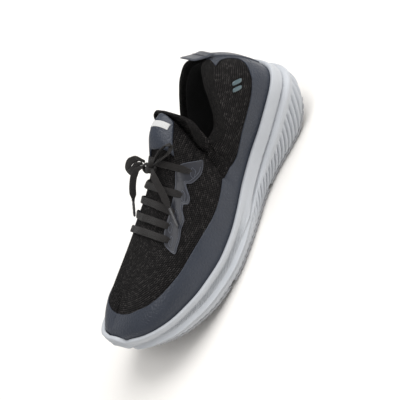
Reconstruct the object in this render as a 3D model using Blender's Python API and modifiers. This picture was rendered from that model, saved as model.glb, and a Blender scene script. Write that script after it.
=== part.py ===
"""A running shoe for the left foot, built piece by piece.

Frame: metres, +Z up, toe towards -Y, heel towards +Y, outer (lateral) side towards +X.
The shape is drawn in shoemaker's terms and in millimetres: x across, s along the sole from the
back of the heel, z above the ground. Each side of the sole outline is walked from the heel
(u = 0) to the toe (u = 1), and each column of the upper from the bite line (v = 0), where it
meets the rim of the midsole, to the topline or the ridge over the instep (v = 1).
"""

import bmesh
import bpy
import numpy as np

MM = 0.001

# Driving dimensions, in millimetres.
CENTRE_X = 3.37  # middle of the outline's width, which is put on x = 0
CENTRE_S = 149.0  # middle of the whole length, which is put on y = 0
GAP = 0.35  # clearance between touching pieces
SIDE_LENGTH = 345.0  # walk along one side of the outline, from heel to toe

OUTSOLE_THICKNESS = 3.0
BOARD_THICKNESS = 1.5
INSOLE_THICKNESS = 4.5
KNIT_THICKNESS = 2.0
COUNTER_THICKNESS = 1.2
FOAM_THICKNESS = 4.0
LINING_THICKNESS = 0.8
MUDGUARD_THICKNESS = 0.8
STRIP_THICKNESS = 1.2
FILM_THICKNESS = 0.8
LABEL_THICKNESS = 0.6
LACE_WIDTH = 7.0
LACE_THICKNESS = 1.3
LACE_TUBE_RADIUS = 1.5
AGLET_RADIUS = 1.7

BITE_INSET = 5.0  # from the outline in to the outer face of the knit
RIM_WALL_INSET = 3.2  # from the outline in to the inner wall of the rim
TUCK_INSET = 6.3  # outer face of the knit where it is lasted onto the board
HEEL_FLARE = 2.0
TAB_LENGTH = 17.0

# Outline of the sole, (x, s) from the back of the heel to the tip of the toe.
LATERAL_OUTLINE = [(0, 0), (13, 1), (24.5, 5), (33.5, 14), (37.5, 32), (37, 58), (35, 85), (38, 112), (47, 140),
                   (54.5, 168), (58.5, 196), (58.5, 222), (55, 246), (48, 267), (34, 284), (8, 297), (-15, 300)]
MEDIAL_OUTLINE = [(0, 0), (-13, 1), (-24, 5), (-32.5, 14), (-37.5, 32), (-38, 58), (-35.5, 85), (-33, 112),
                  (-35, 140), (-41, 168), (-48, 196), (-51.7, 222), (-51.5, 246), (-49, 267), (-43, 284),
                  (-30, 296.5), (-15, 300)]

# Heights along the sole, (s, z).
GROUND = [(0, 20), (12, 13), (28, 5.5), (48, 0), (110, 0), (175, 0), (205, 1.5), (235, 7), (262, 15.5),
          (285, 25.5), (300, 34)]
RIM = [(0, 57), (20, 54), (45, 47.5), (75, 39.7), (105, 33.5), (135, 29.5), (165, 27.2), (195, 28), (225, 32),
       (250, 37), (275, 43), (300, 49)]
BOARD = [(0, 41), (30, 39), (60, 35.5), (90, 30.5), (120, 26), (150, 22.8), (180, 21.5), (200, 22), (225, 24.5),
         (250, 28.5), (275, 34), (300, 40.5)]

# Ridge of the instep, (s, x, z), and the topline, (u, x, s, z), for one side.
RIDGE = [(80, -8, 117), (92, -8.4, 118), (103, -8.8, 119.5), (114, -8.9, 117.5), (124, -8.7, 111),
         (134, -8.4, 103), (150, -8, 94.5), (175, -8, 85.5), (200, -8.5, 78), (225, -9.7, 71.5), (250, -11.5, 65.5),
         (271, -13, 58.5)]
TOPLINE = [(0, 0, 27, 112), (0.04, 9, 30, 114.5), (0.08, 16, 38, 117), (0.13, 23, 51, 111), (0.19, 29, 64, 100),
           (0.25, 32, 76, 89.5), (0.30, 32, 88, 83), (0.33, 30, 99, 83.5), (0.345, 28, 103, 89.5),
           (0.365, 29, 95.5, 104.5), (0.385, 22, 91.5, 113), (0.40, 0, 92, 118)]
RIDGE_RUN = [(0.40, 92), (0.5, 124), (0.6, 157), (0.7, 190), (0.8, 221), (0.9, 249), (1.0, 271)]
TONGUE_TOP_U = 0.40
TONGUE_DRIFT = -8.0  # how far the tongue lies over to the inner side

# Fullness of the upper's columns along u.
RISE = [(0, 0.42), (0.15, 0.40), (0.3, 0.38), (0.4, 0.36), (0.5, 0.42), (0.6, 0.52), (0.75, 0.62), (0.9, 0.66),
        (1, 0.62)]
LEAN = [(0, -1), (0.1, 0.5), (0.2, 1.5), (0.3, 1), (0.4, 0), (0.6, 0), (0.75, 1), (0.9, 1), (1, 0)]
DROP = [(0, 0.25), (0.2, 0.35), (0.31, 0.35), (0.335, 0.3), (0.4, 0.3), (1, 0.3)]
BULGE = [(0, 12), (0.06, 10), (0.12, 6), (0.2, 5), (0.31, 6), (0.335, 6), (0.36, 8), (0.4, 8), (1, 8)]
REACH = [(0, 0.4), (0.4, 0.42), (0.5, 0.42), (0.6, 0.5), (0.75, 0.55), (1, 0.55)]
MUDGUARD_EDGE = [(0, 0.46), (0.045, 0.42), (0.09, 0.36), (0.15, 0.3), (0.27, 0.34), (0.34, 0.26), (0.46, 0.2),
                 (0.59, 0.27), (0.71, 0.31), (0.80, 0.37), (0.845, 0.41), (0.9, 0.52), (0.935, 0.66), (1, 0.86)]

# Columns of the upper and the sole, as u on each side.
STATIONS = [0, 0.045, 0.09, 0.14, 0.19, 0.24, 0.285, 0.315, 0.335, 0.35, 0.368, 0.385, 0.40, 0.43, 0.47, 0.52,
            0.57, 0.61, 0.63, 0.67, 0.72, 0.77, 0.82, 0.87, 0.92, 0.965, 1.0]
LAST = len(STATIONS) - 1
MEDIAL, LATERAL = -1, 1
TUCK, BITE, MID_GUARD, GUARD_EDGE, EYESTAY_EDGE, THROAT, SHOULDER, TOP = range(8)  # rows of the upper

# Rows of lace between the eyelets: (u at the eyelets, how much further forward at the ridge).
LACE_ROWS = [(0.463, 0.055), (0.540, 0.045), (0.592, 0.042), (0.640, 0.035), (0.680, 0.030)]

# Free ends of the lace: points of the route as (x, s, z).
KNOT = (-6.5, 142, 104.5)
KNOT_RADII = (7.5, 6, 4.2)
TAIL_LATERAL = [(2.5, 144.5, 106), (6.5, 147.5, 106), (12, 152.5, 103.5), (17.5, 157.5, 99), (22.5, 162.5, 94),
                (26.5, 167, 89.5), (29, 170, 86.5)]
AGLET_LATERAL = [(29.3, 170.4, 86.1), (39.5, 183, 75.3)]
TAIL_MEDIAL = [(-15, 144, 106.5), (-19.5, 147.5, 107), (-25, 153, 104.5), (-29.5, 159, 99.5), (-33, 164.5, 94),
               (-36, 169, 88.5), (-38, 172, 85)]
AGLET_MEDIAL = [(-38.3, 172.4, 84.6), (-45.5, 183.5, 71)]
LOOP_MEDIAL = [(-14.5, 139, 107.5), (-21.5, 139, 111.5), (-29.5, 142, 111.5), (-36.5, 146.5, 108.5),
               (-39, 150.5, 105), (-35.5, 152, 103.8), (-28.5, 148.8, 105.8), (-22, 143.8, 108.4),
               (-15, 141.5, 108.7)]
LOOP_LATERAL = [(0.5, 137, 107), (7, 130.5, 111), (14, 124, 114), (20, 119.5, 114.5), (23, 120.5, 112),
                (20.5, 125.5, 109.5), (14, 131, 108.5), (8, 136, 107.8), (2.5, 139.5, 106.6)]

COLOURS = {  # slot: (red, green, blue, roughness)
    "sole_foam": (0.55, 0.56, 0.58, 0.55),
    "outsole_rubber": (0.42, 0.43, 0.45, 0.6),
    "knit": (0.012, 0.012, 0.014, 0.9),
    "overlay": (0.045, 0.052, 0.070, 0.5),
    "film": (0.040, 0.042, 0.055, 0.35),
    "webbing": (0.035, 0.040, 0.055, 0.6),
    "lining": (0.006, 0.006, 0.007, 0.95),
    "foam": (0.10, 0.10, 0.11, 0.9),
    "board": (0.35, 0.32, 0.28, 0.9),
    "footbed": (0.06, 0.05, 0.07, 0.85),
    "stiffener": (0.25, 0.25, 0.26, 0.6),
    "lace": (0.022, 0.019, 0.018, 0.8),
    "aglet": (0.05, 0.05, 0.055, 0.25),
    "label": (0.75, 0.75, 0.74, 0.7),
    "badge": (0.10, 0.16, 0.18, 0.4),
}


def smooth(points):
    """A smooth curve through rows whose first value is the parameter; returns a function of it."""
    rows = np.array(points, float)
    t, values = rows[:, 0], rows[:, 1:]
    step = np.diff(t)[:, None]
    slope = np.diff(values, axis=0) / step
    middle = (slope[:-1] * step[1:] + slope[1:] * step[:-1]) / (step[:-1] + step[1:])
    tangent = np.vstack([slope[:1], middle, slope[-1:]])
    tangent[1:-1][slope[:-1] * slope[1:] <= 0] = 0  # flat at a turning point, so a level stretch stays level

    def at(x):
        x = min(max(x, t[0]), t[-1])
        i = min(max(int(np.searchsorted(t, x, side="right")) - 1, 0), len(t) - 2)
        h = t[i + 1] - t[i]
        w = (x - t[i]) / h
        return ((2 * w**3 - 3 * w**2 + 1) * values[i] + (w**3 - 2 * w**2 + w) * h * tangent[i]
                + (3 * w**2 - 2 * w**3) * values[i + 1] + (w**3 - w**2) * h * tangent[i + 1])

    return at


def by_length(points, samples=400):
    """A smooth curve through points, walked at even speed from 0 to 1."""
    rough = np.array(points, float)
    run = np.concatenate([[0], np.cumsum(np.linalg.norm(np.diff(rough, axis=0), axis=1))])
    curve = smooth(np.column_stack([run / run[-1], rough]))
    fine = np.array([curve(t) for t in np.linspace(0, 1, samples)])
    length = np.concatenate([[0], np.cumsum(np.linalg.norm(np.diff(fine, axis=0), axis=1))])
    return lambda t: np.array([np.interp(t * length[-1], length, fine[:, k]) for k in range(fine.shape[1])])


outline_of = {LATERAL: by_length(LATERAL_OUTLINE), MEDIAL: by_length(MEDIAL_OUTLINE)}
ground, rim, board, ridge = smooth(GROUND), smooth(RIM), smooth(BOARD), smooth(RIDGE)
topline, ridge_run, guard_edge = smooth(TOPLINE), smooth(RIDGE_RUN), smooth(MUDGUARD_EDGE)
rise, lean, drop, bulge, reach = smooth(RISE), smooth(LEAN), smooth(DROP), smooth(BULGE), smooth(REACH)


def outward(side, u):
    """Unit normal of the outline in plan, as (x, s); both sides share it at the heel and the toe."""
    if u in (0, 1):
        return np.array([0.0, 2.0 * u - 1])
    along = outline_of[side](min(u + 0.001, 1)) - outline_of[side](max(u - 0.001, 0))
    normal = np.array([along[1], -along[0]]) * side
    return normal / np.linalg.norm(normal)


def outline_point(side, u, offset, z):
    """A point offset outwards from the outline, at height z."""
    x, s = outline_of[side](u) + outward(side, u) * offset
    return np.array([x, s, z])


def upper_point(side, u, v):
    """A point on the outer face of the knit: one cubic arc a column."""
    flat = np.append(outward(side, u), 0)
    start = outline_point(side, u, -BITE_INSET, rim(outline_of[side](u)[1])[0] - 1.5)
    if u >= TONGUE_TOP_U:
        s = ridge_run(u)[0]
        x, z = ridge(s)
        end = np.array([x, s, z])
    else:
        x, s, z = topline(u)
        end = np.array([side * x + TONGUE_DRIFT * min(max((u - 0.3) / 0.1, 0), 1), s, z])
    height = end[2] - start[2]
    first = start + flat * lean(u)[0] + np.array([0, 0, rise(u)[0] * height])
    if u >= TONGUE_TOP_U:
        turn = min(max((u - 0.86) / 0.14, 0), 1)
        turn = turn * turn * (3 - 2 * turn) * np.pi / 2
        span = reach(u)[0] * np.linalg.norm((end - start)[:2])
        fall = -0.32 * np.sin(turn) - 0.02 * np.cos(turn)
        second = end + span * np.array([np.cos(turn) * side, np.sin(turn), fall])
    else:
        second = end + flat * bulge(u)[0] - np.array([0, 0, drop(u)[0] * height])
    w = 1 - v
    return w**3 * start + 3 * w**2 * v * first + 3 * w * v**2 * second + v**3 * end


def upper_column(side, u):
    """Rows TUCK to TOP of one column."""
    s = outline_of[side](u)[1]
    edge = guard_edge(u)[0]
    low = max(edge + 0.1 * (1 - edge), 0.46)
    heights = [0, 0.5 * edge, edge, low, low + 0.38 * (1 - low), low + 0.7 * (1 - low), 1]
    tuck = outline_point(side, u, -TUCK_INSET, board(s)[0] + GAP)
    return [tuck] + [upper_point(side, u, v) for v in heights]


def ring_index(side, station):
    """Place of a column in the ring, which runs heel, inner side, toe, outer side."""
    return station if side == MEDIAL else (2 * LAST - station) % (2 * LAST)


RING = [(MEDIAL, u) for u in STATIONS] + [(LATERAL, u) for u in STATIONS[-2:0:-1]]
SKIN = np.array([upper_column(side, u) for side, u in RING])


def skin_normals():
    """Outward unit normals of the knit at each column and row."""
    along = np.roll(SKIN, -1, axis=0) - np.roll(SKIN, 1, axis=0)
    up = np.gradient(SKIN, axis=1)
    normal = np.cross(up, along)
    normal[LAST, TOP] = normal[LAST, SHOULDER]  # the ridge starts here, so its neighbours coincide
    normal /= np.linalg.norm(normal, axis=2, keepdims=True)
    for station in range(STATIONS.index(TONGUE_TOP_U), LAST):
        pair = [ring_index(MEDIAL, station), ring_index(LATERAL, station)]
        mean = normal[pair, TOP].mean(axis=0)
        normal[pair, TOP] = mean / np.linalg.norm(mean)
    return normal


NORMALS = skin_normals()


def on_skin(side, u, row, lift):
    """A point on the knit's facets at any u and any fraction of a row, lifted off it."""
    station = float(np.interp(u, STATIONS, range(len(STATIONS))))
    i, k = min(int(station), LAST - 1), min(int(row), TOP - 1)
    a, b = station - i, row - k
    corners = [(ring_index(side, i), k, (1 - a) * (1 - b)), (ring_index(side, i + 1), k, a * (1 - b)),
               (ring_index(side, i), k + 1, (1 - a) * b), (ring_index(side, i + 1), k + 1, a * b)]
    point = sum(SKIN[c, r] * w for c, r, w in corners)
    normal = sum(NORMALS[c, r] * w for c, r, w in corners)
    return point + normal / np.linalg.norm(normal) * lift


def world(point):
    """From (x, s, z) in millimetres to the frame in metres."""
    x, s, z = point
    return ((x - CENTRE_X) * MM, (CENTRE_S - s) * MM, z * MM)


def material(slot):
    """The plain material of a slot, made once."""
    found = bpy.data.materials.get(slot)
    if found:
        return found
    red, green, blue, roughness = COLOURS[slot]
    made = bpy.data.materials.new(slot)
    made.use_nodes = True
    shader = made.node_tree.nodes["Principled BSDF"]
    shader.inputs["Base Color"].default_value = (red, green, blue, 1)
    shader.inputs["Roughness"].default_value = roughness
    made.diffuse_color = (red, green, blue, 1)
    return made


def link(name, mesh, slot):
    """Put a mesh or curve in the shoe's collection under its node name."""
    piece = bpy.data.objects.new(name, mesh)
    mesh.materials.append(material(slot))
    bpy.data.collections["running_shoe"].objects.link(piece)
    return piece


def grid_bmesh(rows):
    """A bmesh grid whose points are the given rows of (x, s, z); equal points are welded."""
    across, along = len(rows[0]) - 1, len(rows) - 1
    sheet = bmesh.new()
    bmesh.ops.create_grid(sheet, x_segments=along, y_segments=across, size=1)
    for vert in sheet.verts:
        i = round((vert.co.x + 1) / 2 * along)
        k = round((vert.co.y + 1) / 2 * across)
        vert.co = world(rows[i][k])
    bmesh.ops.remove_doubles(sheet, verts=sheet.verts, dist=1e-6)
    return sheet


def finish(sheet, name, slot):
    """Turn a bmesh into a smooth-shaded object."""
    mesh = bpy.data.meshes.new(name)
    sheet.to_mesh(mesh)
    sheet.free()
    mesh.shade_smooth()
    mesh.set_sharp_from_angle(angle=0.7)
    return link(name, mesh, slot)


def shell(name, rows, thickness, slot):
    """An open surface given by its outer face, with Solidify adding the wall inwards."""
    piece = finish(grid_bmesh(rows), name, slot)
    solid = piece.modifiers.new("thickness", "SOLIDIFY")
    solid.thickness = thickness * MM
    solid.offset = -1
    return piece


def slab(name, stations, profile, slot):
    """A solid between the two sides of the outline.

    profile(side, u) lists (offset, z) from the bottom edge to the top edge.
    """
    sections = []
    for station in stations:
        u = STATIONS[station]
        loop = [outline_point(MEDIAL, u, offset, z) for offset, z in profile(MEDIAL, u)]
        loop += [outline_point(LATERAL, u, offset, z) for offset, z in reversed(profile(LATERAL, u))]
        sections.append(loop + loop[:1])
    solid = grid_bmesh(sections)
    edges = [edge for edge in solid.edges if edge.is_boundary]
    if edges:
        bmesh.ops.holes_fill(solid, edges=edges, sides=0)
    bmesh.ops.dissolve_degenerate(solid, edges=solid.edges, dist=1e-7)
    bmesh.ops.recalc_face_normals(solid, faces=solid.faces)
    bmesh.ops.triangulate(solid, faces=solid.faces, quad_method="SHORT_EDGE")
    if solid.calc_volume(signed=True) < 0:
        bmesh.ops.reverse_faces(solid, faces=solid.faces)
    return finish(solid, name, slot)


def tube(name, points, radius, slot, spacing=4.0):
    """A round cord along a smooth route through hand-chosen points."""
    route = by_length(points)
    length = np.linalg.norm(np.diff(np.array(points, float), axis=0), axis=1).sum()
    count = max(2, round(length / spacing) + 1)
    curve = bpy.data.curves.new(name, "CURVE")
    curve.dimensions = "3D"
    curve.bevel_depth = radius * MM
    curve.bevel_resolution = 2
    curve.use_fill_caps = True
    spline = curve.splines.new("POLY")
    spline.points.add(count - 1)
    for point, t in zip(spline.points, np.linspace(0, 1, count)):
        point.co = (*world(route(t)), 1)
    return link(name, curve, slot)


def sole_height(side, u, curve):
    """Value of a height curve under the outline at u."""
    return curve(outline_of[side](u)[1])[0]


def flare(side, u):
    """How far the lower foam stands out past the rim, most at the heel."""
    s = outline_of[side](u)[1]
    return HEEL_FLARE * max(0.0, 1 - s / 150) + 0.6


def midsole_profile(side, u):
    """From the lower edge up the outside, over the rim and down to the board's seat."""
    low = sole_height(side, u, ground) + OUTSOLE_THICKNESS + GAP
    high = sole_height(side, u, rim)
    seat = sole_height(side, u, board) - BOARD_THICKNESS - GAP
    deep = high - low
    out = flare(side, u)
    return [(-2.0, low), (out, low + 0.16 * deep), (out + 1.2, low + 0.38 * deep),
            (0.6 * out + 0.6, low + 0.62 * deep),
            (-0.2, low + 0.8 * deep), (0, high - 1.2), (-0.9, high), (-RIM_WALL_INSET, high - 0.2),
            (-RIM_WALL_INSET - 0.2, seat)]


def outsole_profile(side, u):
    """A pad under the foam, a little narrower at the ground."""
    low = sole_height(side, u, ground)
    return [(-4.0, low), (-2.4, low + OUTSOLE_THICKNESS)]


def board_profile(side, u):
    """The lasting board on its seat in the midsole."""
    top = sole_height(side, u, board)
    return [(-RIM_WALL_INSET - 0.7, top - BOARD_THICKNESS), (-RIM_WALL_INSET - 0.7, top)]


def insole_profile(side, u):
    """The removable footbed, with a raised edge that follows the foot."""
    top = sole_height(side, u, board) + GAP
    inset = 12.0 if u < 0.42 else 12.0 - 3.0 * min((u - 0.42) / 0.1, 1)
    return [(-inset - 1.0, top), (-inset, top + 1.5), (-inset, top + INSOLE_THICKNESS + 1.5),
            (-inset - 4.0, top + INSOLE_THICKNESS)]


def build_sole():
    """Outsole pads, midsole, lasting board and footbed."""
    split_rear, split_ball = STATIONS.index(0.335), STATIONS.index(0.61)
    slab("outsole_heel", range(split_rear + 1), outsole_profile, "outsole_rubber")
    slab("outsole_midfoot", range(split_rear + 1, split_ball + 1), outsole_profile, "outsole_rubber")
    slab("outsole_forefoot", range(split_ball + 1, LAST + 1), outsole_profile, "outsole_rubber")
    slab("midsole", range(LAST + 1), midsole_profile, "sole_foam")
    slab("strobel_board", range(LAST + 1), board_profile, "board")
    slab("insole", range(LAST + 1), insole_profile, "footbed")


def ring_shell(name, rows, lift, thickness, slot):
    """A layer that goes all round the shoe between two whole rows of the skin."""
    ring = [[SKIN[i, k] + NORMALS[i, k] * lift for k in rows] for i in list(range(len(RING))) + [0]]
    return shell(name, ring, thickness, slot)


def side_layer(name, side, stations, rows, lift, thickness, slot):
    """A layer on one side of the shoe, over whole stations."""
    order = stations if side == MEDIAL else list(reversed(stations))
    grid = [[on_skin(side, STATIONS[j], row, lift) for row in rows] for j in order]
    return shell(name, grid, thickness, slot)


def heel_layer(name, reach_station, rows_and_lifts, thickness, slot):
    """A layer round the heel, from one side's station to the other's."""
    inner = [(MEDIAL, STATIONS[j]) for j in range(0, reach_station + 1)]
    outer = [(LATERAL, STATIONS[j]) for j in range(reach_station, 0, -1)]
    grid = [[on_skin(side, u, row, lift) for row, lift in rows_and_lifts] for side, u in outer + inner]
    return shell(name, grid, thickness, slot)


def build_upper():
    """The knit bootie and every layer that is bonded on or inside it."""
    ring_shell("knit_upper", range(TUCK, TOP + 1), 0, KNIT_THICKNESS, "knit")
    guard_lift = GAP + MUDGUARD_THICKNESS
    ring_shell("mudguard", range(BITE, GUARD_EDGE + 1), guard_lift, MUDGUARD_THICKNESS, "overlay")

    strip_lift = guard_lift + GAP + STRIP_THICKNESS
    strip_rows = [(row, strip_lift) for row in (1.15, 2, 3, 4, 5, 6, 7)]
    heel_layer("heel_strip", 1, strip_rows, STRIP_THICKNESS, "webbing")

    behind = -(KNIT_THICKNESS + 3 * GAP)
    counter_rows = [(row, behind) for row in (1.4, 2, 3, 4, 4.6)]
    heel_layer("heel_counter", 5, counter_rows, COUNTER_THICKNESS, "stiffener")
    for side, name in ((MEDIAL, "medial"), (LATERAL, "lateral")):
        foam = list(range(1, 8))
        side_layer(f"collar_foam_{name}", side, foam, (5.2, 6, 6.6), behind, FOAM_THICKNESS, "foam")
    over_foam = behind - FOAM_THICKNESS - 2 * GAP
    over_counter = behind - COUNTER_THICKNESS - GAP
    lining = [(0.6, over_counter), (2, over_counter), (3, over_counter), (4, over_counter), (4.8, over_counter - 0.2),
              (5.05, over_foam), (6, over_foam), (6.7, over_foam), (6.85, over_foam + 2.6), (6.97, behind)]
    heel_layer("quarter_lining", 7, lining, LINING_THICKNESS, "lining")

    toe = list(range(STATIONS.index(0.82), LAST + 1))
    inner = [(MEDIAL, STATIONS[j]) for j in toe]
    outer = [(LATERAL, STATIONS[j]) for j in reversed(toe[:-1])]
    rows = (1.4, 2, 3, 4, 5)
    grid = [[on_skin(side, u, row, behind) for row in rows] for side, u in inner + outer]
    shell("toe_puff", grid, COUNTER_THICKNESS * 0.8, "stiffener")

    film_lift = GAP + FILM_THICKNESS
    eyestay = list(range(STATIONS.index(0.43), STATIONS.index(0.67) + 1))
    for side, name in ((MEDIAL, "medial"), (LATERAL, "lateral")):
        side_layer(f"eyestay_{name}", side, eyestay, (EYESTAY_EDGE, THROAT), film_lift, FILM_THICKNESS, "film")
    grid = [[on_skin(LATERAL, u, row, film_lift) for row in (3.9, 4.3, 4.7)] for u in (0.160, 0.14, 0.115)]
    shell("heel_badge", grid, FILM_THICKNESS, "badge")


def across_ridge(u, rows, lift, sweep=0.0):
    """Points over the instep from the inner side to the outer side, at u plus a sweep at the ridge."""
    low, high = rows[0], rows[-1]
    columns = [u + sweep * (row - low) / (high - low) for row in rows]
    inner = [on_skin(MEDIAL, at, row, lift) for at, row in zip(columns, rows)]
    outer = [on_skin(LATERAL, at, row, lift) for at, row in zip(columns, rows)]
    return inner + outer[-2::-1]


def build_tongue():
    """Patch, blank label and padding at the top of the bootie's tongue."""
    patch_lift = 3 * GAP + FILM_THICKNESS
    tongue = (0.408, 0.43, 0.47, 0.52)
    patch_rows = (6.0, TOP)
    shell("tongue_patch", [across_ridge(u, patch_rows, patch_lift) for u in tongue], FILM_THICKNESS, "overlay")
    label_lift = patch_lift + GAP + LABEL_THICKNESS
    shell("tongue_label", [across_ridge(u, (6.35, TOP), label_lift) for u in (0.425, 0.43, 0.446)],
          LABEL_THICKNESS, "label")
    behind = -(KNIT_THICKNESS + 2 * GAP)
    shell("tongue_padding", [across_ridge(u, (6.0, TOP), behind) for u in (0.42, 0.43, 0.47, 0.52)],
          FOAM_THICKNESS, "foam")


def build_pull_tab():
    """The free end of the heel strip, hinged where it is stitched down at the topline."""
    lift = GAP + MUDGUARD_THICKNESS + GAP + STRIP_THICKNESS + 1.4
    root = [on_skin(side, u, TOP, lift) for side, u in ((LATERAL, 0.043), (LATERAL, 0), (MEDIAL, 0.043))]
    forward = np.array([0, 0.78, 0.626])
    hinge = bpy.data.objects.new("pull_tab_hinge", None)
    hinge.location = world(root[1] + forward * 0.5)
    bpy.data.collections["running_shoe"].objects.link(hinge)
    grid = [[p + forward * run + np.array([0, 0, 0.012 * run * run]) for run in (3.4, 7, 12, TAB_LENGTH)]
            for p in root]
    tab = shell("pull_tab", grid, STRIP_THICKNESS * 1.5, "webbing")
    tab.parent = hinge
    tab.matrix_parent_inverse.translation = [-c for c in hinge.location]


def build_laces():
    """Rows between the eyelets, and the bow: knot, two loops, two tails and their aglets."""
    lift = 2 * GAP + FILM_THICKNESS + 0.6 + LACE_THICKNESS
    half = LACE_WIDTH / 2 / SIDE_LENGTH
    rows = (4.6, 5, 5.5, 6, 6.5, TOP)
    for number, (u, sweep) in enumerate(LACE_ROWS, start=1):
        grid = [across_ridge(u + shift, rows, lift, sweep) for shift in (-half, half)]
        shell(f"lace_row_{number}", grid, LACE_THICKNESS, "lace")

    knot = bmesh.new()
    bmesh.ops.create_uvsphere(knot, u_segments=16, v_segments=8, radius=1)
    bmesh.ops.scale(knot, vec=[r * MM for r in KNOT_RADII], verts=knot.verts)
    bmesh.ops.translate(knot, vec=world(KNOT), verts=knot.verts)
    finish(knot, "lace_knot", "lace")
    tube("lace_loop_medial", LOOP_MEDIAL, LACE_TUBE_RADIUS, "lace")
    tube("lace_loop_lateral", LOOP_LATERAL, LACE_TUBE_RADIUS, "lace")
    tube("lace_tail_medial", TAIL_MEDIAL, LACE_TUBE_RADIUS, "lace")
    tube("lace_tail_lateral", TAIL_LATERAL, LACE_TUBE_RADIUS, "lace")
    tube("aglet_medial", AGLET_MEDIAL, AGLET_RADIUS, "aglet", spacing=20)
    tube("aglet_lateral", AGLET_LATERAL, AGLET_RADIUS, "aglet", spacing=20)


def main():
    for old in list(bpy.data.objects):
        bpy.data.objects.remove(old)
    collection = bpy.data.collections.new("running_shoe")
    bpy.context.scene.collection.children.link(collection)
    build_sole()
    build_upper()
    build_tongue()
    build_pull_tab()
    build_laces()


main()
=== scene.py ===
"""Running shoe for the left foot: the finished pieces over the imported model.

The shape is drawn as a shoemaker draws it, in millimetres: x across, s from the back of the heel
towards the toe, z above the ground. Each side of the sole outline is walked from the heel (u = 0)
to the toe (u = 1), and each column of the upper from the bite line (v = 0), where it meets the rim
of the midsole, to the topline or to the ridge of the instep (v = 1).
"""
import logging
import math
from collections.abc import Callable, Iterable, Sequence
from dataclasses import dataclass
from enum import Enum
from functools import lru_cache
from typing import Any

import bmesh
import bpy
import numpy as np
from mathutils import Matrix, Vector

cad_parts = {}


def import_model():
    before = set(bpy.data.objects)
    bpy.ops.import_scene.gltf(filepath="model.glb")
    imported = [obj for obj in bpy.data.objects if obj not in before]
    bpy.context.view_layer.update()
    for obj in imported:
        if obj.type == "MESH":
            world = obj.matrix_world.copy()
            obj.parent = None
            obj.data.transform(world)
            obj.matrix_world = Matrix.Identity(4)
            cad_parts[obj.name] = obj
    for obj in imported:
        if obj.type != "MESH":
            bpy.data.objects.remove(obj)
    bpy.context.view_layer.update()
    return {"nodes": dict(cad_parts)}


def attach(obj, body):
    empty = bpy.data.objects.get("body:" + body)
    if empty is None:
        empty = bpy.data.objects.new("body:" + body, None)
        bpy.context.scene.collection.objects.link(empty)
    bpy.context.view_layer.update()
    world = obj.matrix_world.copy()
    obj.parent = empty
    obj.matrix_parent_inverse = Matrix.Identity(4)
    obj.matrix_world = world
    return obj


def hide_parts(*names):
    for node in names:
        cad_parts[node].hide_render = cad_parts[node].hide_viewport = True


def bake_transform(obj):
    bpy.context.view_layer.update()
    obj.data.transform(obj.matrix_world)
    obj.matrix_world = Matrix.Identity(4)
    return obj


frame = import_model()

LOG = logging.getLogger("running_shoe")

MM = 0.001
CENTRE_X = 3.37  # middle of the outline's width, which lies on x = 0 of the frame
CENTRE_S = 149.0  # middle of the whole length, which lies on y = 0 of the frame
SIDE_LENGTH = 342.0  # the walk along one side of the outline, in millimetres
# The last rows of a bonded layer: millimetres from its edge, and their share of the layer's thickness.
EDGE_STEPS = np.array([0.55, 0.25, 0.06, 0.0])
EDGE_LIFTS = np.array([0.98, 0.86, 0.5, -0.1])
BITE_INSET = 5.0  # from the outline in to the outer face of the knit
TONGUE_TOP_U = 0.40

Array = np.ndarray
Curve = Callable[[float], Array]
Rows = Sequence[Sequence[float]]


class Side(Enum):
    """The two sides of the shoe."""

    MEDIAL = -1
    LATERAL = 1


class Motion(Enum):
    """How a piece follows the model's bodies."""

    ROOT = "root"
    TOE = "forefoot"
    TONGUE = "tongue"
    TAB = "pull_tab"


# ---------------------------------------------------------------------------------- the form

def smooth(points: Rows) -> Curve:
    """Make a smooth curve through rows whose first value is the parameter.

    Args:
        points: Rows of parameter and values, in rising order of the parameter.

    Returns:
        A function from the parameter to the values.
    """
    rows = np.array(points, float)
    t, values = rows[:, 0], rows[:, 1:]
    step = np.diff(t)[:, None]
    slope = np.diff(values, axis=0) / step
    inner = (slope[:-1] * step[1:] + slope[1:] * step[:-1]) / (step[:-1] + step[1:])
    tangent = np.vstack([slope[:1], inner, slope[-1:]])
    tangent[1:-1][slope[:-1] * slope[1:] <= 0] = 0  # flat at a turning point

    def at(x: float) -> Array:
        """Give the curve's values at x."""
        x = min(max(x, t[0]), t[-1])
        i = min(max(int(np.searchsorted(t, x, side="right")) - 1, 0), len(t) - 2)
        h = t[i + 1] - t[i]
        w = (x - t[i]) / h
        return ((2 * w**3 - 3 * w**2 + 1) * values[i] + (w**3 - 2 * w**2 + w) * h * tangent[i]
                + (3 * w**2 - 2 * w**3) * values[i + 1] + (w**3 - w**2) * h * tangent[i + 1])

    return at


def by_length(points: Rows, samples: int = 400) -> Curve:
    """Make a smooth curve through points, walked at even speed from 0 to 1.

    Args:
        points: The points to pass through.
        samples: How finely the length is measured.

    Returns:
        A function from 0 to 1 to a point.
    """
    rough = np.array(points, float)
    run = np.concatenate([[0], np.cumsum(np.linalg.norm(np.diff(rough, axis=0), axis=1))])
    curve = smooth(np.column_stack([run / run[-1], rough]))
    fine = np.array([curve(t) for t in np.linspace(0, 1, samples)])
    length = np.concatenate([[0], np.cumsum(np.linalg.norm(np.diff(fine, axis=0), axis=1))])
    return lambda t: np.array([np.interp(t * length[-1], length, fine[:, k]) for k in range(fine.shape[1])])


def ease(low: float, high: float, x: Any) -> Any:
    """Rise smoothly from 0 at low to 1 at high."""
    t = np.clip((np.asarray(x, float) - low) / (high - low), 0, 1)
    return t * t * (3 - 2 * t)


def hump(x: Any, middle: float, half: float) -> Any:
    """Give a rounded bump of height 1 and the given half width."""
    return np.exp(-((np.asarray(x, float) - middle) / half) ** 2)


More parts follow.
